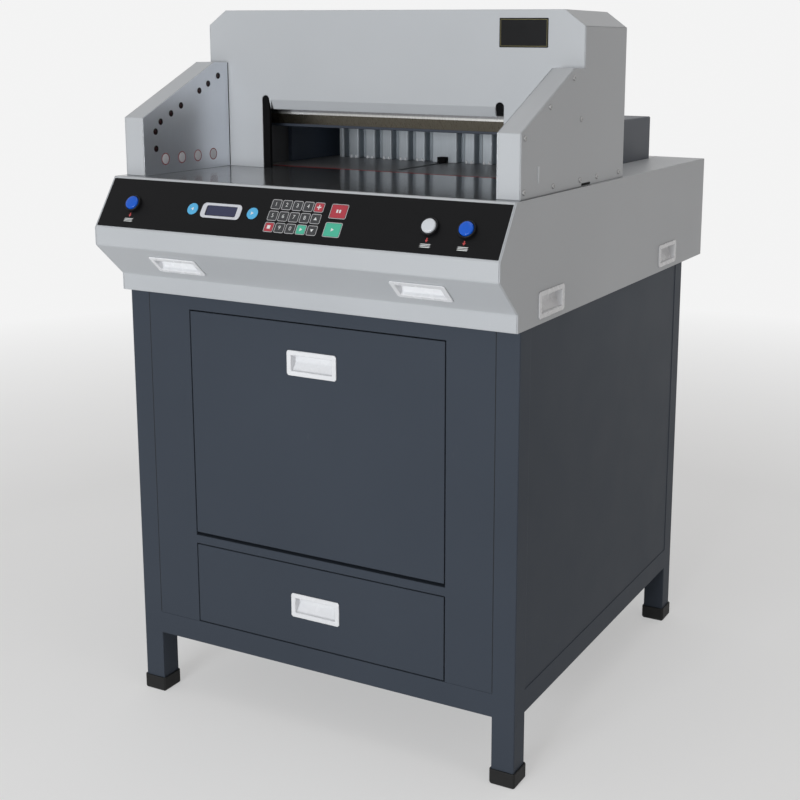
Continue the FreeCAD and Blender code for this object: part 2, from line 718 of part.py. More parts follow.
def drawer_rails():
    """Folded channels hung from the shelf; the tray's rim runs between their two lips."""
    rails = []
    web_x = TRAY_X + TRAY_RIM + RUNNER_GAP
    lip_in = TRAY_X + RUNNER_GAP
    y0, y1 = TRAY_Y0 + TRAY_WALL + BAY_GAP, CAB_REAR - PANEL_RECESS - PANEL_FLANGE - RAIL_END_IN
    low = TRAY_TOP - TRAY_WALL - RUNNER_GAP
    high = TRAY_TOP + RUNNER_GAP
    for s in (-1, 1):
        pieces = [(web_x, web_x + CAB_SHEET, low - CAB_SHEET, SHELF_Z),
                  (lip_in, web_x, low - CAB_SHEET, low),
                  (lip_in, web_x, high, high + CAB_SHEET),
                  (web_x + CAB_SHEET, web_x + CAB_SHEET + RAIL_LIP, SHELF_Z - CAB_SHEET, SHELF_Z)]
        rails.append(fuse([block(*span(s * a, s * b), y0, y1, z0, z1) for a, b, z0, z1 in pieces]))
    return group(rails)


def drawer_front():
    half = BAY_W / 2 - BAY_GAP
    z0, z1 = RAIL_TOP + BAY_GAP, DRAWER_TOP - BAY_GAP
    front = pan(half, z0, z1)
    return cut(front, [placed(pull_hole(CAB_SHEET), drawer_pull_place())])


def drawer_pull_place():
    return front_place(0, CAB_FRONT, (RAIL_TOP + DRAWER_TOP) / 2)


def door_pull_place():
    return front_place(0, CAB_FRONT, BAY_TOP - DOOR_PULL_DROP)


def drawer_tray():
    """Open tray with an outward rim on both sides and a plate that backs the drawer front."""
    y1 = TRAY_Y0 + TRAY_L
    half = BAY_W / 2 - BAY_GAP
    backing = block(-half, half, TRAY_Y0, TRAY_Y0 + TRAY_WALL, RAIL_TOP + BAY_GAP,
                    DRAWER_TOP - BAY_GAP)
    shell = block(-TRAY_X, TRAY_X, TRAY_Y0, y1, TRAY_Z0, TRAY_TOP)
    shell = cut(shell, [block(-TRAY_X + TRAY_WALL, TRAY_X - TRAY_WALL, TRAY_Y0 + TRAY_WALL,
                              y1 - TRAY_WALL, TRAY_Z0 + TRAY_WALL, TRAY_TOP + 1)])
    rims = [block(*span(s * (TRAY_X - TRAY_WALL), s * (TRAY_X + TRAY_RIM)), TRAY_Y0 + 2 * BAY_GAP,
                  y1, TRAY_TOP - TRAY_WALL, TRAY_TOP) for s in (-1, 1)]
    return fuse([shell, backing] + rims)


def door_panel():
    """Drop-down door pan; its pivot pins sit low in the side flanges."""
    half = BAY_W / 2 - BAY_GAP
    door = pan(half, DOOR_Z0, DOOR_HEAD - BAY_GAP)
    door = cut(door, [placed(pull_hole(CAB_SHEET), door_pull_place())])
    return cut(door, hinge_holes(HINGE_PIN_R))


def door_hinge_pins():
    """Pivot pins fixed in the door's side flanges; they turn in the plate's flanges."""
    half = BAY_W / 2 - BAY_GAP
    return group([cyl_x(*span(s * (half - HINGE_PIN_L / 2), s * (half + HINGE_PIN_L / 2)), HINGE_Y,
                        HINGE_Z, HINGE_PIN_R) for s in (-1, 1)])


# Base housing

def offset_outline(outline, distance):
    """Move every side of a closed (y, z) outline inwards; corners stay corners."""
    count = len(outline)
    turn = sum(outline[i][0] * outline[(i + 1) % count][1]
               - outline[(i + 1) % count][0] * outline[i][1] for i in range(count))
    sign = 1 if turn > 0 else -1
    lines = []
    for i in range(count):
        (y0, z0), (y1, z1) = outline[i], outline[(i + 1) % count]
        length = math.hypot(y1 - y0, z1 - z0)
        ny, nz = -sign * (z1 - z0) / length, sign * (y1 - y0) / length
        lines.append((ny, nz, ny * y0 + nz * z0 + distance))
    corners = []
    for i in range(count):
        a0, b0, c0 = lines[i - 1]
        a1, b1, c1 = lines[i]
        det = a0 * b1 - a1 * b0
        corners.append(((c0 * b1 - c1 * b0) / det, (a0 * c1 - a1 * c0) / det))
    return corners


HOUSING_OUTLINE = [(PANEL_TOP_Y, TABLE_Z), (FRONT_Y, Z_PANEL), (FRONT_Y, Z_BAND),
                   (UNDER_Y, Z_UNDER), (UNDER_Y, STAND_H), (REAR_Y, STAND_H), (REAR_Y, TABLE_Z)]
TABLE_FRONT = PANEL_TOP_Y + FRONT_LIP + TABLE_GAP
TABLE_SHOULDER = FRAME_FRONT - TABLE_T / 2
TABLE_REAR = REAR_Y - HOUSING_SHEET - TABLE_GAP


def bent_prism(outline, half_width, radius):
    """Sheet-metal outline along X with its three front bends rounded."""
    body = prism_x(outline, -half_width, half_width)
    corners = outline[1:4]

    def at_bend(centre):
        return any(math.hypot(centre.y - y, centre.z - z) < 1e-3 for y, z in corners)
    return body.makeFillet(radius, edges_along(body, X_AXIS, at_bend))


def control_holes():
    """Holes through the slope for the three buttons and the display."""
    depth = CONTROL_HOLE_DEPTH
    radius = COLLAR_BARREL_R + BARREL_HOLE_GAP
    holes = [placed(facet_bar(vec(0, 0, -depth), Z_AXIS, 2 * depth, radius, HOLE_SIDES), place)
             for place in button_places()]
    window = block(-SCREEN_W / 2, SCREEN_W / 2, -SCREEN_H / 2, SCREEN_H / 2, -depth, depth)
    return holes + [placed(window, slope_place(SCREEN_X, CONTROL_S))]


def entry_place():
    return placement(vec(-HOUSING_W / 4, REAR_Y, (DECK_Z + TABLE_Z) / 2 - ENTRY_DROP), -X_AXIS,
                     Z_AXIS)


def housing_shell():
    """The whole folded shell: control slope, front band, underside, walls and rear decks."""
    outer = bent_prism(HOUSING_OUTLINE, HOUSING_W / 2, BEND_R)
    inner = bent_prism(offset_outline(HOUSING_OUTLINE, HOUSING_SHEET), WALL_X, BEND_R - HOUSING_SHEET)
    shell = cut(outer, [inner])
    low, high = TABLE_Z - 2 * HOUSING_SHEET, TABLE_Z + 1
    top = block(-WALL_X, WALL_X, PANEL_TOP_Y + FRONT_LIP, TABLE_SHOULDER + TABLE_GAP, low, high)
    pit_x = WALL_X - SIDE_LIP
    pit = block(-pit_x, pit_x, TABLE_SHOULDER, HEAD_REAR - REAR_LIP, low, high)
    channel = block(FRAME_IN_L, FRAME_IN_R, HEAD_FRONT, REAR_Y - HOUSING_SHEET, low, high)
    flange_x = WALL_X - BASE_FLANGE
    under = block(-flange_x, flange_x, UNDER_Y + BASE_FLANGE, REAR_Y - BASE_FLANGE, STAND_H - 1,
                  STAND_H + 2 * HOUSING_SHEET)
    holes = [placed(pull_hole(HOUSING_SHEET), p) for p in front_pull_places() + side_pull_places()]
    rear = block(-ENTRY_W / 2 + ENTRY_RIM - GUIDE_GAP, ENTRY_W / 2 - ENTRY_RIM + GUIDE_GAP,
                 -ENTRY_H / 2 + ENTRY_RIM - GUIDE_GAP, ENTRY_H / 2 - ENTRY_RIM + GUIDE_GAP,
                 -2 * HOUSING_SHEET, HOUSING_SHEET)
    return cut(shell, [top, pit, channel, under, placed(rear, entry_place())] + holes
               + control_holes())


def front_zone():
    """Space of the front sheet: between the walls, back to the end of its bottom flange."""
    return block(-WALL_X, WALL_X, FRONT_Y - 1, UNDER_Y + BASE_FLANGE, STAND_H - 1, TABLE_Z + 1)


def rear_zone():
    """Space of the rear sheet: its wall, its bottom flange and the deck on top."""
    wall = block(-WALL_X, WALL_X, REAR_Y - BASE_FLANGE, REAR_Y + 1, STAND_H - 1, TABLE_Z + 1)
    deck = block(-WALL_X, WALL_X, HEAD_REAR - REAR_LIP, REAR_Y, TABLE_Z - 2 * HOUSING_SHEET,
                 TABLE_Z + 1)
    return fuse([wall, deck])


def housing_front():
    """Front sheet in one piece: lip, control slope, band, back-sloped underside and flange."""
    return housing_shell().common(front_zone()).Solids[0]


def housing_rear():
    """Rear sheet with the mains inlet's cut-out and the decks on both sides of the channel."""
    return housing_shell().common(rear_zone()).Solids[0]


def housing_sides():
    """Side walls with their lip under the head and their bottom flange."""
    return cut(housing_shell(), [front_zone(), rear_zone()])


def base_plate():
    """Steel plate on the housing's bottom flange; it carries the frames and the drive."""
    side = WALL_X - TABLE_GAP
    return block(-side, side, UNDER_Y + HOUSING_SHEET + TABLE_GAP,
                 REAR_Y - HOUSING_SHEET - TABLE_GAP, STAND_H + HOUSING_SHEET, DECK_Z)


# Controls

def control_panel():
    """Membrane overlay on the slope, pierced for the buttons and the display window."""
    sheet = block(-HOUSING_W / 2 + OVERLAY_MARGIN, HOUSING_W / 2 - OVERLAY_MARGIN,
                  OVERLAY_MARGIN, SLOPE_L - OVERLAY_MARGIN, 0, OVERLAY_T)
    return cut(placed(sheet, slope_place(0, 0)), control_holes())


def display():
    """Display module behind the slope; its window stands in the overlay's opening."""
    rim_w, rim_h = SCREEN_W + 2 * DISPLAY_RIM, SCREEN_H + DISPLAY_RIM
    back = block(-rim_w / 2, rim_w / 2, -rim_h / 2, rim_h / 2,
                 -HOUSING_SHEET - DISPLAY_T, -HOUSING_SHEET)
    fit = SLIDE_FIT
    window = block(-SCREEN_W / 2 + fit, SCREEN_W / 2 - fit, -SCREEN_H / 2 + fit,
                   SCREEN_H / 2 - fit, -HOUSING_SHEET, OVERLAY_T - WINDOW_SUNK)
    return placed(fuse([back, window]), slope_place(SCREEN_X, CONTROL_S))


def button_places():
    return [slope_place(x, CONTROL_S) for x in (-CUT_BUTTON_X, RESET_BUTTON_X, CUT_BUTTON_X)]


def button_collars():
    """Round collars standing on the overlay, each with a barrel through the slope."""
    ring = facet_bar(vec(0, 0, OVERLAY_T), Z_AXIS, COLLAR_H, COLLAR_R, COLLAR_SIDES)
    barrel = facet_bar(vec(0, 0, -COLLAR_BARREL_L), Z_AXIS, COLLAR_BARREL_L + OVERLAY_T + 1,
                       COLLAR_BARREL_R, HOLE_SIDES)
    bore = facet_bar(vec(0, 0, -COLLAR_BARREL_L - 1), Z_AXIS, COLLAR_BARREL_L + OVERLAY_T + COLLAR_H + 2,
                     BUTTON_R + SLIDE_FIT, COLLAR_SIDES)
    collar = cut(fuse([ring, barrel]), [bore])
    return group([placed(collar, place) for place in button_places()])


def push_button(place):
    """Plunger that slides in its collar, with a chamfered crown."""
    top = OVERLAY_T + COLLAR_H + BUTTON_TRAVEL
    stem = facet_bar(vec(0, 0, -COLLAR_BARREL_L), Z_AXIS, COLLAR_BARREL_L + top, BUTTON_R, COLLAR_SIDES)
    rim = [edge for edge in stem.Edges if abs(edge.CenterOfMass.z - top) < 1e-6]
    return placed(stem.makeChamfer(BUTTON_CROWN, rim), place)


# Table

def slot_span():
    """Ends of the table slot for the carriage's neck."""
    return (GAUGE_Y - GAUGE_FORWARD - PUSHER_L - GAUGE_SLOT_W / 2,
            GAUGE_Y + GAUGE_BACKWARD + CARRIAGE_L)


def table():
    """Polished plate: wide in front of the frames, narrow between them, with stick groove and slot."""
    wide = WALL_X - TABLE_GAP
    narrow_l, narrow_r = FRAME_IN_L + CLAMP_END_GAP, FRAME_IN_R - CLAMP_END_GAP
    outline = [(-wide, TABLE_FRONT), (wide, TABLE_FRONT), (wide, TABLE_SHOULDER),
               (narrow_r, TABLE_SHOULDER), (narrow_r, TABLE_REAR), (narrow_l, TABLE_REAR),
               (narrow_l, TABLE_SHOULDER), (-wide, TABLE_SHOULDER)]
    plate = prism_z(outline, TABLE_UNDER, TABLE_Z)
    groove = block(narrow_l - 1, narrow_r + 1, KNIFE_BACK - STICK_W / 2, KNIFE_BACK + STICK_W / 2,
                   TABLE_Z - STICK_H, TABLE_Z + 1)
    y0, y1 = slot_span()
    slot = block(GAUGE_DRIVE_X - GAUGE_SLOT_W / 2, GAUGE_DRIVE_X + GAUGE_SLOT_W / 2, y0, y1,
                 TABLE_UNDER - 1, TABLE_Z + 1)
    slot = slot.makeChamfer(GAUGE_SLOT_W / 3, edges_along(slot, Z_AXIS))
    return cut(plate, [groove, slot])


def cutting_stick():
    """Square plastic stick that the knife edge lands on."""
    return block(FRAME_IN_L + CLAMP_END_GAP, FRAME_IN_R - CLAMP_END_GAP, KNIFE_BACK - STICK_W / 2,
                 KNIFE_BACK + STICK_W / 2, TABLE_Z - STICK_H, TABLE_Z)


# Side frames and crossbeam

def side_frame(side):
    """Cast upright with a spread foot, a lightening window and an arm that bears the table."""
    inner = FRAME_IN_R if side > 0 else FRAME_IN_L
    outer = inner + side * FRAME_T
    x0, x1 = span(inner, outer)
    front, rear = FRAME_FRONT - FRAME_FOOT_SPREAD, FRAME_REAR + FRAME_FOOT_SPREAD
    foot_top = DECK_Z + FRAME_FOOT_T
    waist = TABLE_UNDER - 3 * FRAME_FOOT_T
    web = prism_x([(front, DECK_Z), (rear, DECK_Z), (rear, foot_top), (FRAME_REAR, waist),
                   (FRAME_REAR, FRAME_TOP), (FRAME_FRONT, FRAME_TOP), (FRAME_FRONT, waist),
                   (front, foot_top)], x0, x1)
    arm = prism_x([(FRAME_FRONT - TABLE_ARM_L, TABLE_UNDER), (FRAME_REAR, TABLE_UNDER),
                   (FRAME_REAR, waist), (FRAME_FRONT, waist - FRAME_FOOT_T),
                   (FRAME_FRONT - TABLE_ARM_L, TABLE_UNDER - FRAME_FOOT_T)], x0, x1)
    ledge = block(*span(inner, inner - side * TABLE_LEDGE), FRAME_FRONT, FRAME_REAR,
                  TABLE_UNDER - FRAME_FOOT_T, TABLE_UNDER)
    foot = block(*span(inner, inner + side * FRAME_FOOT_W), front, rear, DECK_Z, foot_top)
    window = block(x0 - 1, x1 + 1, FRAME_FRONT + CRANK_BOSS_R + FRAME_T, FRAME_REAR - FRAME_T,
                   foot_top + FRAME_T, TABLE_UNDER - 2 * FRAME_T)
    window = window.makeChamfer(FRAME_T / 2, edges_along(window, X_AXIS))
    bolt_x = inner + side * (FRAME_T + FRAME_FOOT_W) / 2
    bolts = [facet_bar(vec(bolt_x, y, DECK_Z - 1), Z_AXIS, FRAME_FOOT_T + 2, FOOT_BOLT_R, SMALL_SIDES)
             for y in (front + FRAME_FOOT_SPREAD / 2, rear - FRAME_FOOT_SPREAD / 2)]
    body = cut(fuse([web, foot, arm, ledge]), [window] + bolts)
    if side > 0:
        body = cut(body, [cyl_x(x0 - 1, x1 + 1, CRANK_Y, CRANK_Z, CRANK_SHAFT_R + SLIDE_FIT)])
    return body


def crossbeam():
    """C-section casting between the frames with ribs and a bored boss for the clamp spindle."""
    y0, y1 = BEAM_FRONT, BEAM_FRONT + BEAM_D
    low, high = BEAM_Z0 + BEAM_FLANGE, FRAME_TOP - BEAM_FLANGE
    outline = [(y0, BEAM_Z0), (y1, BEAM_Z0), (y1, low), (y0 + BEAM_WEB, low), (y0 + BEAM_WEB, high),
               (y1, high), (y1, FRAME_TOP), (y0, FRAME_TOP)]
    beam = prism_x(outline, FRAME_IN_L, FRAME_IN_R)
    half = BEAM_FLANGE / 2
    ribs = [block(x - half, x + half, y0 + BEAM_WEB, y1 - half, low, high)
            for x in [THROAT_X + s * FRAME_GAP * k / BEAM_RIBS for s in (-1, 1) for k in (1, 2)]]
    boss = block(THROAT_X - CLAMP_BOSS_R, THROAT_X + CLAMP_BOSS_R, y0, y1, BEAM_Z0, FRAME_TOP)
    bore = cyl_z(BEAM_Z0 - 1, FRAME_TOP + 1, THROAT_X, CLAMP_MID_Y, SPINDLE_R + SLIDE_FIT)
    return cut(fuse([beam, boss] + ribs), [bore])


# Knife, carrier and pull rod

def along_stroke(x, z, length, width, y0, y1):
    """Bar in the XZ plane with cut corners, its length along the knife's line of travel."""
    bar = block(-width / 2, width / 2, y0, y1, -length / 2, length / 2)
    bar = bar.makeChamfer(BLOCK_CHAMFER, edges_along(bar, Y_AXIS))
    bar.rotate(vec(0, 0, 0), Y_AXIS, -STROKE_ANGLE)
    bar.translate(vec(x, 0, z))
    return bar


def guide_blocks():
    """Hardened blocks on the front edges of the side frames, one in each carrier slot."""
    return group([along_stroke(x, BLOCK_Z, BLOCK_L, BLOCK_W, CARRIER_FRONT + GUIDE_GAP, FRAME_FRONT)
                  for x in BLOCK_XS])


def carrier_slot(x):
    return along_stroke(x - KNIFE_SIDE_SHIFT / 2, BLOCK_Z + KNIFE_DROP / 2,
                        BLOCK_L + KNIFE_STROKE + 2 * GUIDE_GAP, BLOCK_W + 2 * GUIDE_GAP,
                        CARRIER_FRONT - 1, CARRIER_REAR + 1)


def bolt_xs():
    pitch = (KNIFE_L - 2 * KNIFE_BOLT_END_IN) / (KNIFE_BOLTS - 1)
    return [KNIFE_X0 + KNIFE_BOLT_END_IN + k * pitch for k in range(KNIFE_BOLTS)]


def knife_carrier():
    """Cast carrier with a diagonal slot in each raised end and a spigot for the pull rod."""
    reach = BLOCK_REACH_X + GUIDE_GAP + CARRIER_WALL
    left = BLOCK_XS[0] - KNIFE_SIDE_SHIFT - reach
    right = BLOCK_XS[1] + reach
    ear = 2 * reach + KNIFE_SIDE_SHIFT
    z0, z1, mid = CARRIER_Z0, CARRIER_TOP, CARRIER_Z0 + CARRIER_MID_H
    lug = ROD_TOP_X + ROD_EYE_R + 1
    outline = [(left, z0), (lug, z0), (lug, ROD_TOP_Z + ROD_EYE_R + 2),
               (right, ROD_TOP_Z + 3 * ROD_EYE_R), (right, z1), (right - ear, z1),
               (right - ear - CARRIER_SHOULDER, mid), (left + ear + CARRIER_SHOULDER, mid),
               (left + ear, z1), (left, z1)]
    body = prism_y(outline, CARRIER_FRONT, CARRIER_REAR)
    y_end = FRAME_FRONT + ROD_T + GUIDE_GAP
    spigot = cyl_y(CARRIER_REAR, y_end, ROD_TOP_X, ROD_TOP_Z, ROD_PIN_R)
    keeper = cyl_y(y_end, y_end + KEEPER_T, ROD_TOP_X, ROD_TOP_Z, ROD_EYE_R)
    rise = KNIFE_BOLT_HEAD_R + BOLT_CHANNEL_GAP
    channel = block(KNIFE_X0, KNIFE_X0 + KNIFE_L, CARRIER_FRONT - 1,
                    CARRIER_FRONT + KNIFE_BOLT_HEAD_H + 1, KNIFE_BOLT_Z - rise, KNIFE_BOLT_Z + rise)
    slots = [carrier_slot(x) for x in BLOCK_XS]
    return cut(fuse([body, spigot, keeper]), slots + [channel])


def knife():
    """Blade with its flat side to the clamp and its bevel to the front."""
    outline = [(KNIFE_BACK, EDGE_Z), (KNIFE_BACK, EDGE_Z + KNIFE_H), (CARRIER_REAR, EDGE_Z + KNIFE_H),
               (CARRIER_REAR, EDGE_Z + BEVEL_H), (KNIFE_BACK - EDGE_LAND, EDGE_Z)]
    return prism_x(outline, KNIFE_X0, KNIFE_X0 + KNIFE_L)


def knife_bolts():
    """Hexagon heads of the bolts that hold the blade, sunk in the carrier's channel."""
    y0 = CARRIER_FRONT + 1
    return group([facet_bar(vec(x, y0, KNIFE_BOLT_Z), Y_AXIS, KNIFE_BOLT_HEAD_H, KNIFE_BOLT_HEAD_R, 6)
                  for x in bolt_xs()])


def pull_rod():
    """Link from the carrier's spigot down to the crank: its two eyes are at right angles."""
    y0, y1 = FRAME_FRONT, FRAME_FRONT + ROD_T
    top = cyl_y(y0, y1, ROD_TOP_X, ROD_TOP_Z, ROD_EYE_R)
    foot = cyl_x(ROD_FOOT_X - ROD_W / 2, ROD_FOOT_X + ROD_W / 2, CRANK_Y, CRANK_TOP_Z, CRANK_EYE_R)
    half = ROD_W / 2
    shank = prism_y([(ROD_TOP_X - half, ROD_TOP_Z), (ROD_TOP_X + half, ROD_TOP_Z),
                     (ROD_FOOT_X + half, CRANK_TOP_Z), (ROD_FOOT_X - half, CRANK_TOP_Z)], y0, y1)
    holes = [cyl_y(y0 - 1, y1 + 1, ROD_TOP_X, ROD_TOP_Z, ROD_PIN_R + SLIDE_FIT),
             cyl_x(ROD_FOOT_X - ROD_W, ROD_FOOT_X + ROD_W, CRANK_Y, CRANK_TOP_Z,
                   CRANK_PIN_R + SLIDE_FIT)]
    return cut(fuse([top, foot, shank]), holes)


def crank():
    """Disc and shaft of the knife drive; the pin's free end stops short of the rod's eye."""
    x0 = CRANK_DISC_X
    x1 = x0 + CRANK_DISC_T
    tip = ROD_FOOT_X - ROD_W / 2 - CRANK_PIN_GAP
    disc = cyl_x(x0, x1, CRANK_Y, CRANK_Z, CRANK_R + CRANK_PIN_R + CRANK_RIM)
    shaft = cyl_x(x0 - CRANK_SHAFT_L, x0, CRANK_Y, CRANK_Z, CRANK_SHAFT_R)
    pin = cyl_x(x1, tip, CRANK_Y, CRANK_TOP_Z, CRANK_PIN_R)
    return fuse([disc, shaft, pin])


GEARBOX_X1 = FRAME_IN_R - GEARBOX_GAP
MOTOR_X = GEARBOX_X1 - GEARBOX_W / 2
MOTOR_Z = DECK_Z + MOTOR_R + MOTOR_LIFT


def gearbox():
    """Worm gearbox beside the right frame, bored for the crank shaft."""
    y0, y1 = CRANK_Y - GEARBOX_D / 2, CRANK_Y + GEARBOX_D / 2
    case = block(GEARBOX_X1 - GEARBOX_W, GEARBOX_X1, y0, y1, DECK_Z, DECK_Z + GEARBOX_H)
    case = case.makeChamfer(GEARBOX_CHAMFER, edges_along(case, X_AXIS, lambda c: c.z > DECK_Z + 1))
    bore = cyl_x(CRANK_DISC_X - CRANK_SHAFT_L - 1, GEARBOX_X1 + 1, CRANK_Y, CRANK_Z,
                 CRANK_SHAFT_R + SLIDE_FIT)
    return cut(case, [bore])


def main_motor():
    """Motor behind the gearbox: square flange, round drum, foot and a terminal box on top."""
    y0 = CRANK_Y + GEARBOX_D / 2
    y1 = y0 + MOTOR_L
    side = MOTOR_R - MOTOR_LIFT
    flange = block(MOTOR_X - side, MOTOR_X + side, y0, y0 + MOTOR_LIFT, MOTOR_Z - side, MOTOR_Z + side)
    drum = cyl_y(y0, y1, MOTOR_X, MOTOR_Z, MOTOR_R)
    foot = block(MOTOR_X - side, MOTOR_X + side, y0 + MOTOR_FOOT_IN, y1 - MOTOR_FOOT_IN, DECK_Z,
                 DECK_Z + MOTOR_FOOT_H)
    box = block(MOTOR_X - side, MOTOR_X + side, y0 + MOTOR_FOOT_IN, y0 + MOTOR_L / 2,
                MOTOR_Z + side, MOTOR_Z + MOTOR_R + MOTOR_FOOT_H)
    return fuse([flange, drum, foot, box])


# Clamp

def clamp_beam():
    """Pressing beam: flat foot with comb notches behind, a ribbed web and the spindle's nut boss."""
    x0, x1 = FRAME_IN_L + CLAMP_END_GAP, FRAME_IN_R - CLAMP_END_GAP
    z1, z2 = CLAMP_Z + CLAMP_H, BEAM_Z0 - CLAMP_BOSS_GAP
    foot_top = CLAMP_Z + CLAMP_FOOT_H
    foot = block(x0, x1, CLAMP_FRONT, CLAMP_REAR, CLAMP_Z, foot_top)
    web = block(x0, x1, CLAMP_FRONT, CLAMP_FRONT + CLAMP_WEB, foot_top, z1)
    cap = block(x0, x1, CLAMP_FRONT, CLAMP_REAR - CLAMP_RIB_IN, z1 - CLAMP_WEB, z1)
    ribs = [block(x - CLAMP_RIB_IN, x + CLAMP_RIB_IN, CLAMP_FRONT, CLAMP_REAR - CLAMP_RIB_IN, foot_top, z1)
            for x in [THROAT_X + s * FRAME_GAP * k / CLAMP_RIBS for s in (-1, 1) for k in (1, 2, 3)]]
    boss = block(THROAT_X - CLAMP_BOSS_R, THROAT_X + CLAMP_BOSS_R, CLAMP_FRONT, CLAMP_REAR, CLAMP_Z, z2)
    notches = [block(x - NOTCH_GAP, x + w + NOTCH_GAP, CLAMP_REAR - CLAMP_WEB, CLAMP_REAR + 1,
                     CLAMP_Z - 1, foot_top - CLAMP_RIB_IN)
               for x, w in finger_spans() if w < WIDE_FINGER_W]
    bore = cyl_z(CLAMP_Z + NUT_FLOOR, z2 + 1, THROAT_X, CLAMP_MID_Y, SPINDLE_R + SLIDE_FIT)
    return cut(fuse([foot, web, cap, boss] + ribs), notches + [bore])


CLAMP_DRIVE_Z = FRAME_TOP + CLAMP_DRIVE_LIFT


def clamp_spindle():
    """Lead screw that draws the clamp down: hexagon thrust collar and a head in the drive."""
    screw = cyl_z(CLAMP_Z + 2 * NUT_FLOOR, CLAMP_DRIVE_Z + CLAMP_DRIVE_H / 2, THROAT_X, CLAMP_MID_Y,
                  SPINDLE_R)
    collar = facet_bar(vec(THROAT_X, CLAMP_MID_Y, FRAME_TOP + GUIDE_GAP), Z_AXIS,
                       CLAMP_DRIVE_LIFT - 2 * GUIDE_GAP, SPINDLE_HEAD_R, 6)
    return fuse([screw, collar])


def clamp_drive():
    """Flat worm gear head over the spindle with its small motor lying along the crossbeam."""
    z0, z1 = CLAMP_DRIVE_Z, CLAMP_DRIVE_Z + CLAMP_DRIVE_H
    mid_z = (z0 + z1) / 2
    x1 = THROAT_X + CLAMP_DRIVE_HALF
    case = block(THROAT_X - CLAMP_DRIVE_HALF, x1, CLAMP_FRONT, CLAMP_MID_Y + CLAMP_DRIVE_HALF, z0, z1)
    motor = cyl_x(x1, x1 + CLAMP_MOTOR_L, CLAMP_MID_Y, mid_z, CLAMP_MOTOR_R)
    foot = block(x1, x1 + CLAMP_DRIVE_HALF, CLAMP_MID_Y - CLAMP_MOTOR_R / 2,
                 CLAMP_MID_Y + CLAMP_MOTOR_R / 2, FRAME_TOP, mid_z)
    bore = cyl_z(z0 - 1, mid_z + 2 * GUIDE_GAP, THROAT_X, CLAMP_MID_Y, SPINDLE_R + SLIDE_FIT)
    return cut(fuse([case, motor, foot]), [bore])


# Back gauge

def finger_spans():
    """Left edge and width of every gauge finger, from the wide one outwards."""
    x0, x1 = THROAT_X - GAUGE_W / 2, THROAT_X + GAUGE_W / 2
    gap = FINGER_PITCH - FINGER_W
    spans = [(GAUGE_DRIVE_X - WIDE_FINGER_W / 2, WIDE_FINGER_W)]
    x = GAUGE_DRIVE_X - WIDE_FINGER_W / 2 - gap - FINGER_W
    while x > x0 + gap:
        spans.append((x, FINGER_W))
        x -= FINGER_PITCH
    spans.append((x0, FINGER_W / 2))
    x = GAUGE_DRIVE_X + WIDE_FINGER_W / 2 + gap
    while x + FINGER_W < x1 - gap:
        spans.append((x, FINGER_W))
        x += FINGER_PITCH
    spans.append((x1 - FINGER_W / 2, FINGER_W / 2))
    return spans


def back_gauge():
    """Comb-fronted gauge: fingers with cut corners before a back wall, on a ribbed sole."""
    x0, x1 = THROAT_X - GAUGE_W / 2, THROAT_X + GAUGE_W / 2
    y0, z0 = GAUGE_Y, TABLE_Z + GAUGE_LIFT
    y1, z1 = y0 + FINGER_T, z0 + GAUGE_H
    wall = block(x0, x1, y1, y1 + GAUGE_WALL, z0, z1)
    sole = block(x0, x1, y1, y0 + GAUGE_D, z0, z0 + GAUGE_WALL)
    nose = FINGER_NOSE
    fingers = [prism_z([(x, y1), (x, y0 + nose), (x + nose, y0), (x + w - nose, y0),
                        (x + w, y0 + nose), (x + w, y1)], z0, z1) for x, w in finger_spans()]
    brace = [(y1 + GAUGE_WALL, z0 + GAUGE_WALL), (y0 + GAUGE_D, z0 + GAUGE_WALL),
             (y1 + GAUGE_WALL, z1 - GAUGE_WALL)]
    ribs = [prism_x(brace, x - GAUGE_RIB_T / 2, x + GAUGE_RIB_T / 2)
            for x in [THROAT_X + s * GAUGE_W * k / GAUGE_RIBS for s in (-1, 1) for k in (1, 2, 3)]]
    return fuse([wall, sole] + fingers + ribs)


SCREW_Z = TABLE_Z - SCREW_DROP
SCREW_Y0 = GAUGE_Y - GAUGE_FORWARD - 2 * BRACKET_T
SCREW_Y1 = GAUGE_Y + GAUGE_BACKWARD + CARRIAGE_L + 2 * BRACKET_T
ROD_XS = (GAUGE_DRIVE_X - GUIDE_ROD_PITCH / 2, GAUGE_DRIVE_X + GUIDE_ROD_PITCH / 2)


CARRIAGE_HALF = GUIDE_ROD_PITCH / 2 + 2 * GUIDE_ROD_R


def rod_bores(y0, y1, xs, radius):
    return [cyl_y(y0 - 1, y1 + 1, x, SCREW_Z, radius) for x in xs]


def gauge_carriage():
    """Nut carriage under the table; its neck passes the slot and its pusher shows in front."""
    y0, y1 = GAUGE_Y, GAUGE_Y + CARRIAGE_L
    z0, z1 = SCREW_Z - CARRIAGE_H / 2, SCREW_Z + CARRIAGE_H / 2
    body = block(GAUGE_DRIVE_X - CARRIAGE_HALF, GAUGE_DRIVE_X + CARRIAGE_HALF, y0, y1, z0, z1)
    body = body.makeChamfer(CARRIAGE_CHAMFER, edges_along(body, Y_AXIS))
    neck_w = GAUGE_SLOT_W / 2 - 2 * GUIDE_GAP
    top = TABLE_Z + GAUGE_LIFT
    neck = block(GAUGE_DRIVE_X - neck_w, GAUGE_DRIVE_X + neck_w, y0 - PUSHER_L + 1,
                 y1 - GAUGE_SLOT_W, z1 - 1, top)
    pusher = block(GAUGE_DRIVE_X - PUSHER_W / 2, GAUGE_DRIVE_X + PUSHER_W / 2, y0 - PUSHER_L, y0,
                   top, top + PUSHER_H)
    bores = rod_bores(y0, y1, ROD_XS, GUIDE_ROD_R + SLIDE_FIT)
    bores += rod_bores(y0, y1, [GAUGE_DRIVE_X], SCREW_R + SLIDE_FIT)
    return cut(fuse([body, neck, pusher]), bores)


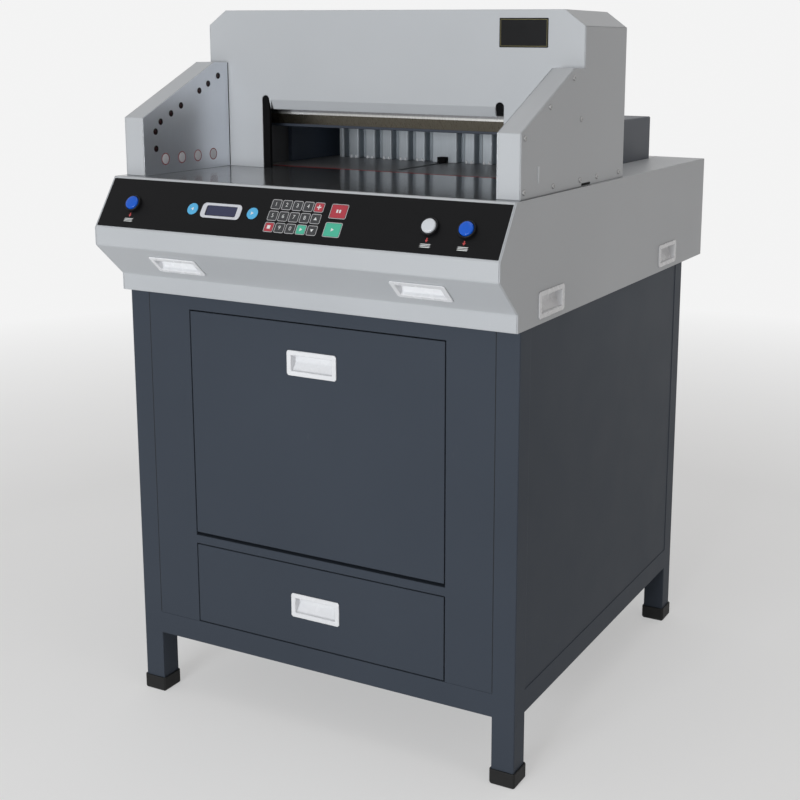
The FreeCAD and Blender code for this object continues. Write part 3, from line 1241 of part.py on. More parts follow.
def gauge_screw():
    """Lead screw in its two brackets; its front end meets the motor's face."""
    return cyl_y(SCREW_Y0 - BRACKET_T + GUIDE_GAP, SCREW_Y1 + BRACKET_T, GAUGE_DRIVE_X, SCREW_Z, SCREW_R)


def gauge_guides():
    """Two ground rods under the table, clamped between the brackets."""
    return group([cyl_y(SCREW_Y0, SCREW_Y1, x, SCREW_Z, GUIDE_ROD_R) for x in ROD_XS])


def screw_brackets():
    """Bearing plates bolted under the table at both ends of the screw and rods."""
    plates = []
    for y in (SCREW_Y0 - BRACKET_T, SCREW_Y1):
        plate = block(GAUGE_DRIVE_X - CARRIAGE_HALF, GAUGE_DRIVE_X + CARRIAGE_HALF, y,
                      y + BRACKET_T, SCREW_Z - CARRIAGE_H / 2, TABLE_UNDER)
        plates.append(cut(plate, rod_bores(y, y + BRACKET_T, [GAUGE_DRIVE_X], SCREW_R + SLIDE_FIT)))
    return group(plates)


def gauge_motor():
    """Geared motor on the front bracket, in line with the screw."""
    y1 = SCREW_Y0 - BRACKET_T
    drum = cyl_y(y1 - GAUGE_MOTOR_L, y1, GAUGE_DRIVE_X, SCREW_Z, GAUGE_MOTOR_R)
    flange = block(GAUGE_DRIVE_X - GAUGE_MOTOR_R, GAUGE_DRIVE_X + GAUGE_MOTOR_R, y1 - GAUGE_FLANGE_T,
                   y1, SCREW_Z - CARRIAGE_H / 2, SCREW_Z + CARRIAGE_H / 2)
    return fuse([drum, flange])


def side_lays():
    """Upright guide plates on both sides of the rear table."""
    y0, y1 = HEAD_FRONT + LAY_SETBACK, REAR_COVER_Y1 - HEAD_SHEET - TABLE_GAP
    return group([block(FRAME_IN_L, FRAME_IN_L + LAY_T, y0, y1, TABLE_Z, TABLE_Z + LAY_H),
                  block(FRAME_IN_R - LAY_T, FRAME_IN_R, y0, y1, TABLE_Z, TABLE_Z + LAY_H)])


# Head covers

HALF_HEAD = HEAD_W / 2
HEAD_SECTION = [(-HALF_HEAD, TABLE_Z), (-HALF_HEAD, CHAMFER_Z), (-HALF_HEAD + CHAMFER_W, HEAD_TOP),
                (HALF_HEAD - CHAMFER_W, HEAD_TOP), (HALF_HEAD, CHAMFER_Z), (HALF_HEAD, TABLE_Z)]


def end_sheet(y0, y1):
    """Head-shaped sheet across the machine, set between the side covers."""
    sheet = prism_y(HEAD_SECTION, y0, y1)
    inner = HALF_HEAD - HEAD_SHEET
    return cut(sheet, [block(-HEAD_W, -inner, y0 - 1, y1 + 1, TABLE_Z - 1, CHAMFER_Z),
                       block(inner, HEAD_W, y0 - 1, y1 + 1, TABLE_Z - 1, CHAMFER_Z)])


OPEN_L = THROAT_X - OPENING_SHIFT - OPENING_W / 2
OPEN_R = OPEN_L + OPENING_W
FOLD_Z = TABLE_Z + OPENING_H


def front_cover():
    """Front sheet of the head: throat opening with two eared corners and a folded-back lip."""
    y0, y1 = HEAD_FRONT, HEAD_FRONT + HEAD_SHEET
    sheet = end_sheet(y0, y1)
    lip_l, lip_r = OPEN_L + LIP_INSET_L, OPEN_R - LIP_INSET_R
    throat = block(OPEN_L, OPEN_R, y0 - 1, y1 + 1, TABLE_Z - 1, FOLD_Z - LIP_H)
    middle = block(lip_l, lip_r, y0 - 1, y1 + 1, FOLD_Z - LIP_H - 1, FOLD_Z)
    ear_l = prism_y([(OPEN_L, FOLD_Z - LIP_H - 1), (lip_l + GUIDE_GAP, FOLD_Z - LIP_H - 1),
                     (OPEN_L + 2 * NOTCH_R, FOLD_Z), (OPEN_L, FOLD_Z)], y0 - 1, y1 + 1)
    ear_r = prism_y([(OPEN_R, FOLD_Z - LIP_H - 1), (lip_r - GUIDE_GAP, FOLD_Z - LIP_H - 1),
                     (OPEN_R - 2 * NOTCH_R, FOLD_Z), (OPEN_R, FOLD_Z)], y0 - 1, y1 + 1)
    rounds = [cyl_y(y0 - 1, y1 + 1, x, FOLD_Z, NOTCH_R)
              for x in (OPEN_L + NOTCH_R, OPEN_R - NOTCH_R)]
    sheet = cut(sheet, [throat, middle, ear_l, ear_r] + rounds)
    rise = HEAD_SHEET * LIP_RUN / LIP_H
    lip = prism_x([(y0, FOLD_Z), (y1, FOLD_Z), (y1 + LIP_RUN - rise, FOLD_Z - LIP_H),
                   (y0 + LIP_RUN - rise, FOLD_Z - LIP_H)], lip_l, lip_r)
    return fuse([sheet, lip])


def head_cover():
    """Bent sheet over the top and both shoulders of the head."""
    y0, y1 = HEAD_FRONT + HEAD_SHEET, HEAD_REAR - HEAD_SHEET
    outer = prism_y(HEAD_SECTION, y0, y1)
    inner = prism_y(offset_outline(HEAD_SECTION, HEAD_SHEET), y0 - 1, y1 + 1)
    sides = block(-HEAD_W, HEAD_W, y0 - 1, y1 + 1, 0, CHAMFER_Z)
    return cut(outer, [inner, sides])


def rear_cover():
    """Rear sheet of the head, open below where the rear table passes, with cooling slots."""
    y0, y1 = HEAD_REAR - 2 * HEAD_SHEET, HEAD_REAR + 1
    sheet = end_sheet(HEAD_REAR - HEAD_SHEET, HEAD_REAR)
    channel = block(FRAME_IN_L, FRAME_IN_R, y0, y1, TABLE_Z - 1, TABLE_Z + REAR_COVER_H - HEAD_SHEET)
    slots = []
    for x in (-HEAD_W / 4, HEAD_W / 4):
        for k in range(VENTS):
            z = TABLE_Z + REAR_COVER_H + VENT_RISE + k * VENT_PITCH
            slots.append(block(x - VENT_W / 2, x + VENT_W / 2, y0, y1, z, z + VENT_H))
    return cut(sheet, [channel] + slots)


GUARD_OUTLINE = [(GUARD_FRONT, TABLE_Z), (GUARD_FRONT, TABLE_Z + GUARD_FRONT_H),
                 (HEAD_FRONT - GUARD_TOP_RUN, TABLE_Z + GUARD_TOP_H),
                 (HEAD_FRONT, TABLE_Z + GUARD_TOP_H), (HEAD_FRONT, TABLE_Z)]


def cover_screw_points():
    """(y, z) of the screws in a side cover: round the guard arm and along the deck."""
    (ya, za), (yb, zb) = GUARD_OUTLINE[1:3]
    inset = COVER_SCREW_IN
    points = [(ya + (yb - ya) * k + inset / 2, za + (zb - za) * k - inset) for k in COVER_SCREW_SHARES]
    low = TABLE_Z + inset
    ys = (GUARD_FRONT + inset, (GUARD_FRONT + HEAD_FRONT) / 2, HEAD_FRONT - inset,
          HEAD_FRONT + HEAD_D / 3, HEAD_REAR - 2 * inset)
    return points + [(y, low) for y in ys] + [(HEAD_FRONT - inset, TABLE_Z + GUARD_FRONT_H + inset)]


def side_covers():
    """Flat plates closing the sides of the guard arms and of the head."""
    plates = []
    for side in (-1, 1):
        x0, x1 = span(side * HEAD_W / 2, side * (HEAD_W / 2 - HEAD_SHEET))
        plates.append(fuse([prism_x(GUARD_OUTLINE, x0, x1),
                            block(x0, x1, HEAD_FRONT, HEAD_REAR, TABLE_Z, CHAMFER_Z)]))
    return group(plates)


def cover_screws():
    """Heads of the screws in both side covers."""
    return group([facet_bar(vec(side * HEAD_W / 2, y, z), X_AXIS * side, COVER_SCREW_H,
                            COVER_SCREW_R, SMALL_SIDES)
                  for side in (-1, 1) for y, z in cover_screw_points()])


def guard_inner_x(side):
    return side * (HEAD_W / 2 - GUARD_T)


def guard_shells():
    """Bent strips over the front, the slope and the top of both guard arms."""
    inner = offset_outline(GUARD_OUTLINE, HEAD_SHEET)
    hollow = [(inner[0][0], TABLE_Z - 1), inner[1], inner[2], (HEAD_FRONT + 1, inner[3][1]),
              (HEAD_FRONT + 1, TABLE_Z - 1)]
    shells = []
    for side in (-1, 1):
        x0, x1 = span(guard_inner_x(side) + side * HEAD_SHEET, side * (HEAD_W / 2 - HEAD_SHEET))
        shells.append(cut(prism_x(GUARD_OUTLINE, x0, x1), [prism_x(hollow, x0 - 1, x1 + 1)]))
    return group(shells)


def slope_unit():
    """Unit vector up the slope of a guard arm, as (y, z)."""
    (ya, za), (yb, zb) = GUARD_OUTLINE[1:3]
    length = math.hypot(yb - ya, zb - za)
    return (yb - ya) / length, (zb - za) / length


def beam_points():
    """(y, z) of the eight light-barrier holes: six along the slope, two down the front."""
    uy, uz = slope_unit()
    y0, z0 = GUARD_FRONT + BEAM_START_IN, TABLE_Z + GUARD_FRONT_H - BEAM_START_DOWN
    points = [(y0 + uy * s, z0 + uz * s) for s in BEAM_STEPS]
    return points + [(GUARD_FRONT + BEAM_FRONT_IN, z0 - drop) for drop in BEAM_FRONT_DROPS]


def guard_plates():
    """Stainless inner plates of the guard arms with their eight light-barrier holes."""
    plates = []
    for side in (-1, 1):
        x0, x1 = span(guard_inner_x(side), guard_inner_x(side) + side * HEAD_SHEET)
        holes = [facet_bar(vec(x0 - 1, y, z), X_AXIS, HEAD_SHEET + 2, BEAM_HOLE_R, SMALL_SIDES)
                 for y, z in beam_points()]
        plates.append(cut(prism_x(GUARD_OUTLINE, x0, x1), holes))
    return group(plates)


def light_barriers():
    """Sensor bars behind the guard plates: one along the slope, one down the front."""
    points = beam_points()
    (ya, za), (yb, zb) = points[0], points[len(BEAM_STEPS) - 1]
    (y6, z6), (y7, z7) = points[-2:]
    uy, uz = slope_unit()
    w = BEAM_BAR_HALF
    slant = [(ya - uy * w - uz * w, za - uz * w + uy * w), (ya - uy * w + uz * w, za - uz * w - uy * w),
             (yb + uy * w + uz * w, zb + uz * w - uy * w), (yb + uy * w - uz * w, zb + uz * w + uy * w)]
    bars = []
    for side in (-1, 1):
        xa = guard_inner_x(side) + side * HEAD_SHEET
        x0, x1 = span(xa, xa + side * BEAM_BAR_T)
        bars.append(fuse([prism_x(slant, x0, x1), block(x0, x1, y7 - w, y7 + w, z7 - w, z6 + 2 * w)]))
    return group(bars)


def throat_strips():
    """Black plastic strips: one behind the left edge of the throat, one behind the right ear."""
    y0, top = HEAD_FRONT + HEAD_SHEET, FOLD_Z + 2 * NOTCH_R
    strips = []
    for side, edge, low in ((-1, OPEN_L, TABLE_Z), (1, OPEN_R, FOLD_Z - 2 * NOTCH_R)):
        x_in = edge - side * STRIP_SHOW
        strips.append(block(*span(x_in, x_in + side * STRIP_W), y0, y0 + STRIP_T, low, top))
    return group(strips)


def gauge_cover():
    """Cover over the rear table behind the head, open to the head and below."""
    x0, x1 = FRAME_IN_L - REAR_COVER_SIDE, FRAME_IN_R + REAR_COVER_SIDE
    y0, y1, t = HEAD_REAR, REAR_COVER_Y1, HEAD_SHEET
    box = block(x0, x1, y0, y1, TABLE_Z, TABLE_Z + REAR_COVER_H)
    box = box.makeFillet(2 * t, edges_along(box, Y_AXIS, lambda c: c.z > TABLE_Z + 1))
    hollow = block(x0 + t, x1 - t, y0 - 1, y1 - t, TABLE_Z - 1, TABLE_Z + REAR_COVER_H - t)
    hollow = hollow.makeFillet(t, edges_along(hollow, Y_AXIS, lambda c: c.z > TABLE_Z + 1))
    return cut(box, [hollow])


# Electrics

def control_box():
    """Closed box with the control electronics, on the base plate at the left."""
    x0, y0 = -WALL_X + BASE_FLANGE, UNDER_Y + 2 * BASE_FLANGE
    return block(x0, x0 + CONTROL_BOX_W, y0, y0 + CONTROL_BOX_D, DECK_Z, DECK_Z + CONTROL_BOX_H)


def power_entry():
    """Moulded inlet in the rear wall: flange, socket with three pins and the rocker's well."""
    flange = moulded_pad(ENTRY_W, ENTRY_H, 0, ENTRY_PROUD, ENTRY_RIM)
    half_w, half_h = ENTRY_W / 2 - ENTRY_RIM, ENTRY_H / 2 - ENTRY_RIM
    back, floor, face = -ENTRY_DEPTH, ENTRY_WALL - ENTRY_DEPTH, ENTRY_PROUD + 1
    body = block(-half_w, half_w, -half_h, half_h, back, ENTRY_PROUD / 2)
    w, h, corner = SOCKET_W / 2, SOCKET_H / 2, SOCKET_CORNER
    outline = [(-w, h), (-w, corner - h), (corner - w, -h), (w - corner, -h), (w, corner - h), (w, h)]
    socket = prism_z([(SOCKET_X + x, y) for x, y in outline], floor, face)
    well_x, well_y = ROCKER_W / 2 + GUIDE_GAP, ROCKER_L / 2 + ROCKER_GAP
    well = block(ROCKER_X - well_x, ROCKER_X + well_x, -well_y, well_y, floor, face)
    pin_x = well_x + ROCKER_GAP
    pivot = pin_hole(vec(ROCKER_X - pin_x, 0, -ROCKER_PIVOT), X_AXIS, 2 * pin_x, ROCKER_PIN_R + SLIDE_FIT)
    pins = [block(SOCKET_X + x - 1, SOCKET_X + x + 1, y - 2, y + 2, floor - 1, -PIN_SUNK)
            for x, y in ((-PIN_SPREAD, -PIN_SHIFT), (PIN_SPREAD, -PIN_SHIFT), (0, PIN_SHIFT))]
    return placed(fuse([cut(fuse([flange, body]), [socket, well, pivot])] + pins), entry_place())


def mains_switch():
    """Rocker with a dished top, tilted on its cross pin."""
    half_l, half_w, heel = ROCKER_L / 2, ROCKER_W / 2, -1.5 * ROCKER_PIVOT
    outline = [(-half_l, 0), (-half_l / 2, heel), (half_l / 2, heel), (half_l, 0), (0, -ROCKER_DISH)]
    rocker = prism_x(outline, ROCKER_X - half_w, ROCKER_X + half_w)
    pin_x = half_w + ROCKER_GAP
    pin = cyl_x(ROCKER_X - pin_x, ROCKER_X + pin_x, 0, -ROCKER_PIVOT, ROCKER_PIN_R)
    rocker = fuse([rocker, pin])
    rocker.rotate(vec(ROCKER_X, 0, -ROCKER_PIVOT), X_AXIS, -ROCKER_TILT)
    return placed(rocker, entry_place())


def pulls(places):
    return group([placed(flush_pull(), place) for place in places])


NODES = {
    "stand_frame": stand_frame,
    "foot_caps": foot_caps,
    "front_frame_plate": front_frame_plate,
    "side_panels": side_panels,
    "rear_panel": rear_panel,
    "cabinet_shelf": cabinet_shelf,
    "drawer_rails": drawer_rails,
    "door_hinge_pins": door_hinge_pins,
    "door_panel": door_panel,
    "door_pull": lambda: pulls([door_pull_place()]),
    "drawer_front": drawer_front,
    "drawer_tray": drawer_tray,
    "drawer_pull": lambda: pulls([drawer_pull_place()]),
    "housing_front": housing_front,
    "housing_rear": housing_rear,
    "housing_sides": housing_sides,
    "housing_pulls": lambda: pulls(front_pull_places() + side_pull_places()),
    "base_plate": base_plate,
    "control_panel": control_panel,
    "display": display,
    "button_collars": button_collars,
    "left_cut_button": lambda: push_button(button_places()[0]),
    "reset_button": lambda: push_button(button_places()[1]),
    "right_cut_button": lambda: push_button(button_places()[2]),
    "table": table,
    "cutting_stick": cutting_stick,
    "left_side_frame": lambda: side_frame(-1),
    "right_side_frame": lambda: side_frame(1),
    "crossbeam": crossbeam,
    "guide_blocks": guide_blocks,
    "knife_carrier": knife_carrier,
    "knife": knife,
    "knife_bolts": knife_bolts,
    "pull_rod": pull_rod,
    "crank": crank,
    "gearbox": gearbox,
    "main_motor": main_motor,
    "clamp_beam": clamp_beam,
    "clamp_spindle": clamp_spindle,
    "clamp_drive": clamp_drive,
    "back_gauge": back_gauge,
    "gauge_carriage": gauge_carriage,
    "gauge_screw": gauge_screw,
    "gauge_guides": gauge_guides,
    "screw_brackets": screw_brackets,
    "gauge_motor": gauge_motor,
    "side_lays": side_lays,
    "gauge_cover": gauge_cover,
    "front_cover": front_cover,
    "head_cover": head_cover,
    "rear_cover": rear_cover,
    "side_covers": side_covers,
    "cover_screws": cover_screws,
    "guard_shells": guard_shells,
    "guard_plates": guard_plates,
    "light_barriers": light_barriers,
    "throat_strips": throat_strips,
    "control_box": control_box,
    "power_entry": power_entry,
    "mains_switch": mains_switch,
}

os.makedirs("parts", exist_ok=True)
for node, make in NODES.items():
    make().exportStep("parts/" + node + ".step")
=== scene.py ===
import bmesh
import bpy
import json
import math
from mathutils import Matrix, Vector


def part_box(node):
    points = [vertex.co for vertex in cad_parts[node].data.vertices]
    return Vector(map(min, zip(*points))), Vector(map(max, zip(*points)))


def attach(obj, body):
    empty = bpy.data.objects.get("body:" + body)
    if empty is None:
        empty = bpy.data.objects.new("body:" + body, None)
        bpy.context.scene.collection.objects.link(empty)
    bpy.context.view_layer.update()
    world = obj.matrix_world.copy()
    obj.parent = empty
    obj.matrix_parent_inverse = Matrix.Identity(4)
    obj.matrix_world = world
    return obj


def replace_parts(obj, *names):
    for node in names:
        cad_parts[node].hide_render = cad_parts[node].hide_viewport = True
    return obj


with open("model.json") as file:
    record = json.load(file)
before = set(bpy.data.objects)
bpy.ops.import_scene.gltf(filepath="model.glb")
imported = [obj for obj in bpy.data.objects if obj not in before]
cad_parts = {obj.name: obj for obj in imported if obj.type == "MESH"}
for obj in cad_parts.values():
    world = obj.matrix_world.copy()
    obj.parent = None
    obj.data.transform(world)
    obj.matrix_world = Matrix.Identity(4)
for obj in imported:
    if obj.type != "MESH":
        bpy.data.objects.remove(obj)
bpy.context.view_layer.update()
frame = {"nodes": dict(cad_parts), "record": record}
nodes = frame["nodes"]
scene = bpy.context.scene
MM = 0.001

# Places on the CAD model, in millimetres like the sizes of the added pieces
FRONT_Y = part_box("housing_front")[0].y / MM
TABLE_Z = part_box("table")[1].z / MM
HEAD_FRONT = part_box("front_cover")[0].y / MM
HEAD_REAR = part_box("rear_cover")[1].y / MM
COVER_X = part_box("side_covers")[1].x / MM
GUARD_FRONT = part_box("guard_plates")[0].y / MM

# The control slope: how far it runs back and drops, its foil, and the row of its controls,
# whose height is measured up the slope
PANEL_RUN, PANEL_DROP, FOIL_H = 53.6, 81.0, 1.0
BUTTON_X, RESET_X, SCREEN_X, CONTROL_S = 311.0, 249.0, -132.0, 47.0

# The guard plates: their seen face, and (y, z) where their slope starts and ends
GUARD_X = COVER_X - 39.5
GUARD_LOW = (GUARD_FRONT, TABLE_Z + 97.2)
GUARD_HIGH = (HEAD_FRONT - 41.4, TABLE_Z + 187.8)


# Materials

NOISE_SPAN = (0.3, 0.7)   # where most of a noise pattern lies
ROUGH_SPAN = (0.3, 0.75)  # the same for patterns that steer the roughness
BEVEL_SAMPLES = 4
EDGE_REACH = 0.35         # fall of the dot product of true and rounded normal at a full edge
BUMP_DEPTH = 0.0002


class Graph:
    """Short-hand for building one node-based material; lengths are in metres."""

    def __init__(self, name):
        self.mat = bpy.data.materials.new(name)
        self.mat.use_nodes = True
        self.tree = self.mat.node_tree
        self.bsdf = self.tree.nodes["Principled BSDF"]
        self.coords = self.node("ShaderNodeTexCoord").outputs["Object"]

    def feed(self, socket, value):
        """Link an output to a socket, or give the socket a constant."""
        if isinstance(value, bpy.types.NodeSocket):
            self.tree.links.new(value, socket)
        else:
            socket.default_value = value

    def node(self, kind, inputs=None, **props):
        n = self.tree.nodes.new(kind)
        for key, value in props.items():
            setattr(n, key, value)
        for key, value in (inputs or {}).items():
            self.feed(n.inputs[key], value)
        return n

    def set(self, **values):
        """Feed inputs of the surface shader; underscores stand for spaces."""
        for key, value in values.items():
            self.feed(self.bsdf.inputs[key.replace("_", " ")], value)

    def noise(self, scale, detail, stretch=(1, 1, 1), rough=0.5):
        where = self.node("ShaderNodeMapping", {"Vector": self.coords, "Scale": stretch})
        return self.node("ShaderNodeTexNoise", {"Vector": where.outputs[0], "Scale": scale,
                                                "Detail": detail, "Roughness": rough}).outputs["Fac"]

    def tones(self, fac, dark, light):
        """Colour between two tones over the range in which noise varies."""
        n = self.node("ShaderNodeValToRGB", {"Fac": fac})
        for element, pos, color in zip(n.color_ramp.elements, NOISE_SPAN, (dark, light)):
            element.position = pos
            element.color = (*color, 1)
        return n.outputs["Color"]

    def remap(self, fac, lo, hi, v0=0.0, v1=1.0):
        """Map fac from lo..hi to v0..v1, held at the ends."""
        return self.node("ShaderNodeMapRange", {"Value": fac, "From Min": lo, "From Max": hi,
                                                "To Min": v0, "To Max": v1}).outputs["Result"]

    def math(self, operation, *values, clamp=False):
        return self.node("ShaderNodeMath", dict(enumerate(values)), operation=operation,
                         use_clamp=clamp).outputs[0]

    def times(self, a, b):
        return self.math("MULTIPLY", a, b, clamp=True)

    def mix(self, fac, a, b):
        """Colour a where fac is 0, b where it is 1."""
        n = self.node("ShaderNodeMix", {0: fac}, data_type="RGBA")
        for i, color in ((6, a), (7, b)):
            self.feed(n.inputs[i], color if isinstance(color, bpy.types.NodeSocket) else (*color, 1))
        return n.outputs[2]

    def rounded(self, radius):
        """Normal that rounds the edges."""
        return self.node("ShaderNodeBevel", {"Radius": radius}, samples=BEVEL_SAMPLES).outputs[0]

    def edge(self, radius):
        """1 along convex and concave edges, 0 on flats."""
        soft = self.rounded(radius)
        flat = self.node("ShaderNodeNewGeometry").outputs["Normal"]
        dot = self.node("ShaderNodeVectorMath", {0: soft, 1: flat}, operation="DOT_PRODUCT")
        return self.remap(dot.outputs["Value"], 1.0, 1.0 - EDGE_REACH)

    def bump(self, height, strength, radius):
        """Fine relief, with the edges rounded by the radius."""
        self.set(Normal=self.node("ShaderNodeBump", {"Height": height, "Strength": strength,
                                                     "Distance": BUMP_DEPTH,
                                                     "Normal": self.rounded(radius)}).outputs[0])

    def axis(self, name):
        return self.node("ShaderNodeSeparateXYZ", {0: self.coords}).outputs[name]


def tint(color, k):
    return tuple(min(1.0, c * k) for c in color)


def paint(name, color, rough, worn, wear_and_edge_light, peel, scale=900, gloss=0.35):
    """Sprayed enamel: orange peel, faint mottling, lighter edges that are partly rubbed wear and partly
    painted edge highlight, and fine marks.

    worn is the colour of the marks and of the lighter edges, and the next argument how strong these edges
    are; peel and scale shape the orange peel.
    """
    g = Graph(name)
    mottled = g.tones(g.noise(scale=3.5, detail=4), tint(color, 0.965), tint(color, 1.03))
    scuffs = g.noise(scale=55, detail=8, stretch=(1, 1, 0.25), rough=0.7)
    base = g.mix(g.remap(scuffs, 0.66, 0.74, 0.0, 0.10), mottled, worn)
    # lighter colour along convex and concave edges: partly rubbed wear, partly painted edge highlight
    rub_and_edge_light = g.times(g.edge(radius=0.0012), g.remap(g.noise(scale=42, detail=6), 0.52, 0.7, 0.0, wear_and_edge_light))
    g.set(Base_Color=g.mix(rub_and_edge_light, base, worn), IOR=1.48, Specular_IOR_Level=gloss)
    g.set(Roughness=g.remap(g.noise(scale=14, detail=5), *ROUGH_SPAN, rough - 0.02, rough + 0.03))
    g.bump(g.noise(scale, detail=2), peel, radius=0.0022)
    return g.mat


def plastic(name, color, rough=0.3, grain=0.05, radius=0.0006, gloss=0.5):
    """Moulded plastic: fine grain, slight tone changes and handling marks in the gloss."""
    g = Graph(name)
    tone = g.tones(g.noise(scale=9, detail=4), tint(color, 0.96), tint(color, 1.03))
    g.set(Base_Color=tone, IOR=1.46, Specular_IOR_Level=gloss)
    g.set(Roughness=g.remap(g.noise(scale=60, detail=5), *ROUGH_SPAN, rough - 0.04, rough + 0.09))
    g.bump(g.noise(scale=1600, detail=2), grain, radius)
    return g.mat


def metal(name, base, rough, lines, grain=0.08, radius=0.0006, sheen=1.0):
    """Bare metal whose roughness and bump follow its grinding or rolling lines.

    base makes the colour from the lines, and lines holds the arguments of their noise.
    """
    g = Graph(name)
    pattern = g.noise(*lines)
    g.set(Base_Color=base(g, pattern), Metallic=sheen)
    g.set(Roughness=g.remap(pattern, 0.25, 0.75, *rough))
    g.bump(pattern, grain, radius)
    return g.mat


def plain_metal(color):
    """Base colour along the grain with faint brown stains."""
    def base(g, pattern):
        bright = g.tones(pattern, tint(color, 0.88), tint(color, 1.06))
        stains = g.remap(g.noise(scale=5, detail=5), 0.42, 0.75, 0.0, 0.12)
        return g.mix(stains, bright, tint(color, 0.5))
    return base


def sheet_metal(g, pattern):
    """Bluish brushed sheet with a faint cloudy sheen where it looks along X, dark grey elsewhere."""
    clouds = g.tones(g.noise(scale=6, detail=4), (0.72, 0.745, 0.79), (0.81, 0.83, 0.87))
    face = g.mix(g.remap(pattern, 0.35, 0.65, 0.0, 0.12), clouds, (0.60, 0.62, 0.66))
    normal = g.node("ShaderNodeTexCoord").outputs["Normal"]
    across = g.math("ABSOLUTE", g.node("ShaderNodeSeparateXYZ", {0: normal}).outputs["X"])
    return g.mix(g.remap(across, 0.5, 0.9), (0.29, 0.30, 0.31), face)


def table_plate():
    """Polished in front of the cutting stick, worn matt behind it where the stacks slide."""
    g = Graph("polished_steel")
    pattern = g.noise(scale=1500, detail=3, stretch=(0.02, 1, 1), rough=0.6)
    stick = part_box("cutting_stick")[1].y
    patches = g.remap(g.noise(scale=9, detail=4), *NOISE_SPAN, 0.75, 1.0)
    behind = g.times(g.remap(g.axis("Y"), stick, stick + 2 * MM), patches)
    clouds = g.tones(g.noise(scale=7, detail=5), (0.24, 0.245, 0.255), (0.29, 0.295, 0.305))
    polished = g.mix(g.remap(pattern, 0.35, 0.65, 0.0, 0.25), clouds, (0.20, 0.205, 0.215))
    g.set(Base_Color=g.mix(behind, polished, (0.42, 0.42, 0.43)))
    g.set(Metallic=g.remap(behind, 0.0, 1.0, 0.82, 0.30))
    g.set(Roughness=g.math("MULTIPLY_ADD", behind, 0.26, g.remap(pattern, 0.25, 0.75, 0.08, 0.20)))
    g.bump(pattern, 0.03, radius=0.0006)
    return g.mat


def blade_metal(g, pattern):
    """Ground bevel in a warm tone that is a painted reflection of the floor, a painted glint along the line
    where it ends, then the greyer back of the blade.
    """
    edge_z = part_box("knife")[0].z
    height = g.axis("Z")
    # painted glint: a band 17.6 to 18 mm above the edge gets the bright tones
    line = g.remap(height, edge_z + 17.6 * MM, edge_z + 18.0 * MM)
    back = g.remap(height, edge_z + 21.0 * MM, edge_z + 22.5 * MM)
    # painted reflection of the floor in the warm bevel tones; painted glint in the bright tones
    bevel = g.tones(pattern, (0.33, 0.295, 0.225), (0.41, 0.37, 0.29))
    bright = g.tones(pattern, (0.44, 0.435, 0.42), (0.52, 0.515, 0.50))
    dull = g.tones(pattern, (0.17, 0.17, 0.175), (0.22, 0.22, 0.225))
    return g.mix(back, g.mix(line, bevel, bright), dull)


def finger_metal(g, pattern):
    """Ground faces of the gauge fingers; the gaps between them get a darker, duller colour that is painted
    shade in the recesses.
    """
    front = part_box("back_gauge")[0].y
    # painted shade: darker colour from 3 to 12 mm behind the fingers' front, in the gaps between them
    gap_shade = g.remap(g.axis("Y"), front + 3 * MM, front + 12 * MM)
    face = g.tones(pattern, (0.37, 0.40, 0.43), (0.45, 0.48, 0.51))
    return g.mix(gap_shade, face, (0.27, 0.30, 0.33))


GREY = (0.455, 0.470, 0.490)
SLATE = (0.046, 0.0555, 0.072)
DARK_BLUE = (0.030, 0.038, 0.055)
# colour of marks and lighter edges on dark paint; the edges are partly wear, partly painted highlight
WORN_AND_EDGE_LIGHT_DARK = (0.14, 0.15, 0.16)
# Arguments of the noise that draws each kind of lines
ROLLED = (300, 3)
BRUSHED = (1300, 3, (1, 1, 0.02), 0.6)
GROUND = (1800, 2, (1, 0.05, 0.05), 0.6)
GROUND_UPRIGHT = (1200, 3, (1, 1, 0.03), 0.6)

mats = {
    "light_grey_paint": paint("light_grey_paint", GREY, 0.42, (0.60, 0.61, 0.62), 0.35, 0.12),
    "slate_paint": paint("slate_paint", SLATE, 0.45, WORN_AND_EDGE_LIGHT_DARK, 0.4, 0.25, 1400, 0.08),
    "dark_blue_paint": paint("dark_blue_paint", DARK_BLUE, 0.45, WORN_AND_EDGE_LIGHT_DARK, 0.35, 0.16),
    "motor_paint": paint("motor_paint", (0.04, 0.07, 0.12), 0.45, (0.2, 0.22, 0.25), 0.3, 0.2),
    "grey_cast_iron": paint("grey_cast_iron", (0.10, 0.105, 0.11), 0.55, (0.3, 0.3, 0.3), 0.5, 0.6, 350),
    "white_plastic": plastic("white_plastic", (0.74, 0.745, 0.765), 0.24, 0.05, 0.0020),
    "blue_plastic": plastic("blue_plastic", (0.003, 0.085, 0.50), 0.18, gloss=0.35),
    "button_white": plastic("button_white", (0.56, 0.58, 0.61), 0.2),
    "black_plastic": plastic("black_plastic", (0.006, 0.006, 0.007), 0.40, 0.12, 0.0006, 0.22),
    "black_rubber": plastic("black_rubber", (0.010, 0.010, 0.010), 0.62, 0.3, 0.0006, 0.3),
    "red_plastic": plastic("red_plastic", (0.42, 0.012, 0.016), 0.3),
    "panel_foil": plastic("panel_foil", (0.0040, 0.0040, 0.0046), 0.42, 0.03, 0.0004, 0.13),
    "display_glass": plastic("display_glass", (0.030, 0.034, 0.075), 0.14, 0.0, 0.0003, 0.3),
    "machine_steel": metal("machine_steel", plain_metal((0.42, 0.42, 0.43)), (0.28, 0.44), ROLLED),
    "zinc_screws": metal("zinc_screws", plain_metal((0.34, 0.34, 0.34)), (0.36, 0.5), ROLLED),
    "stainless_sheet": metal("stainless_sheet", sheet_metal, (0.28, 0.40), BRUSHED, 0.04),
    "polished_steel": table_plate(),
    "knife_steel": metal("knife_steel", blade_metal, (0.24, 0.36), GROUND, 0.06, 0.0003),
}
finger_steel = metal("finger_steel", finger_metal, (0.40, 0.52), GROUND_UPRIGHT, sheen=0.45)
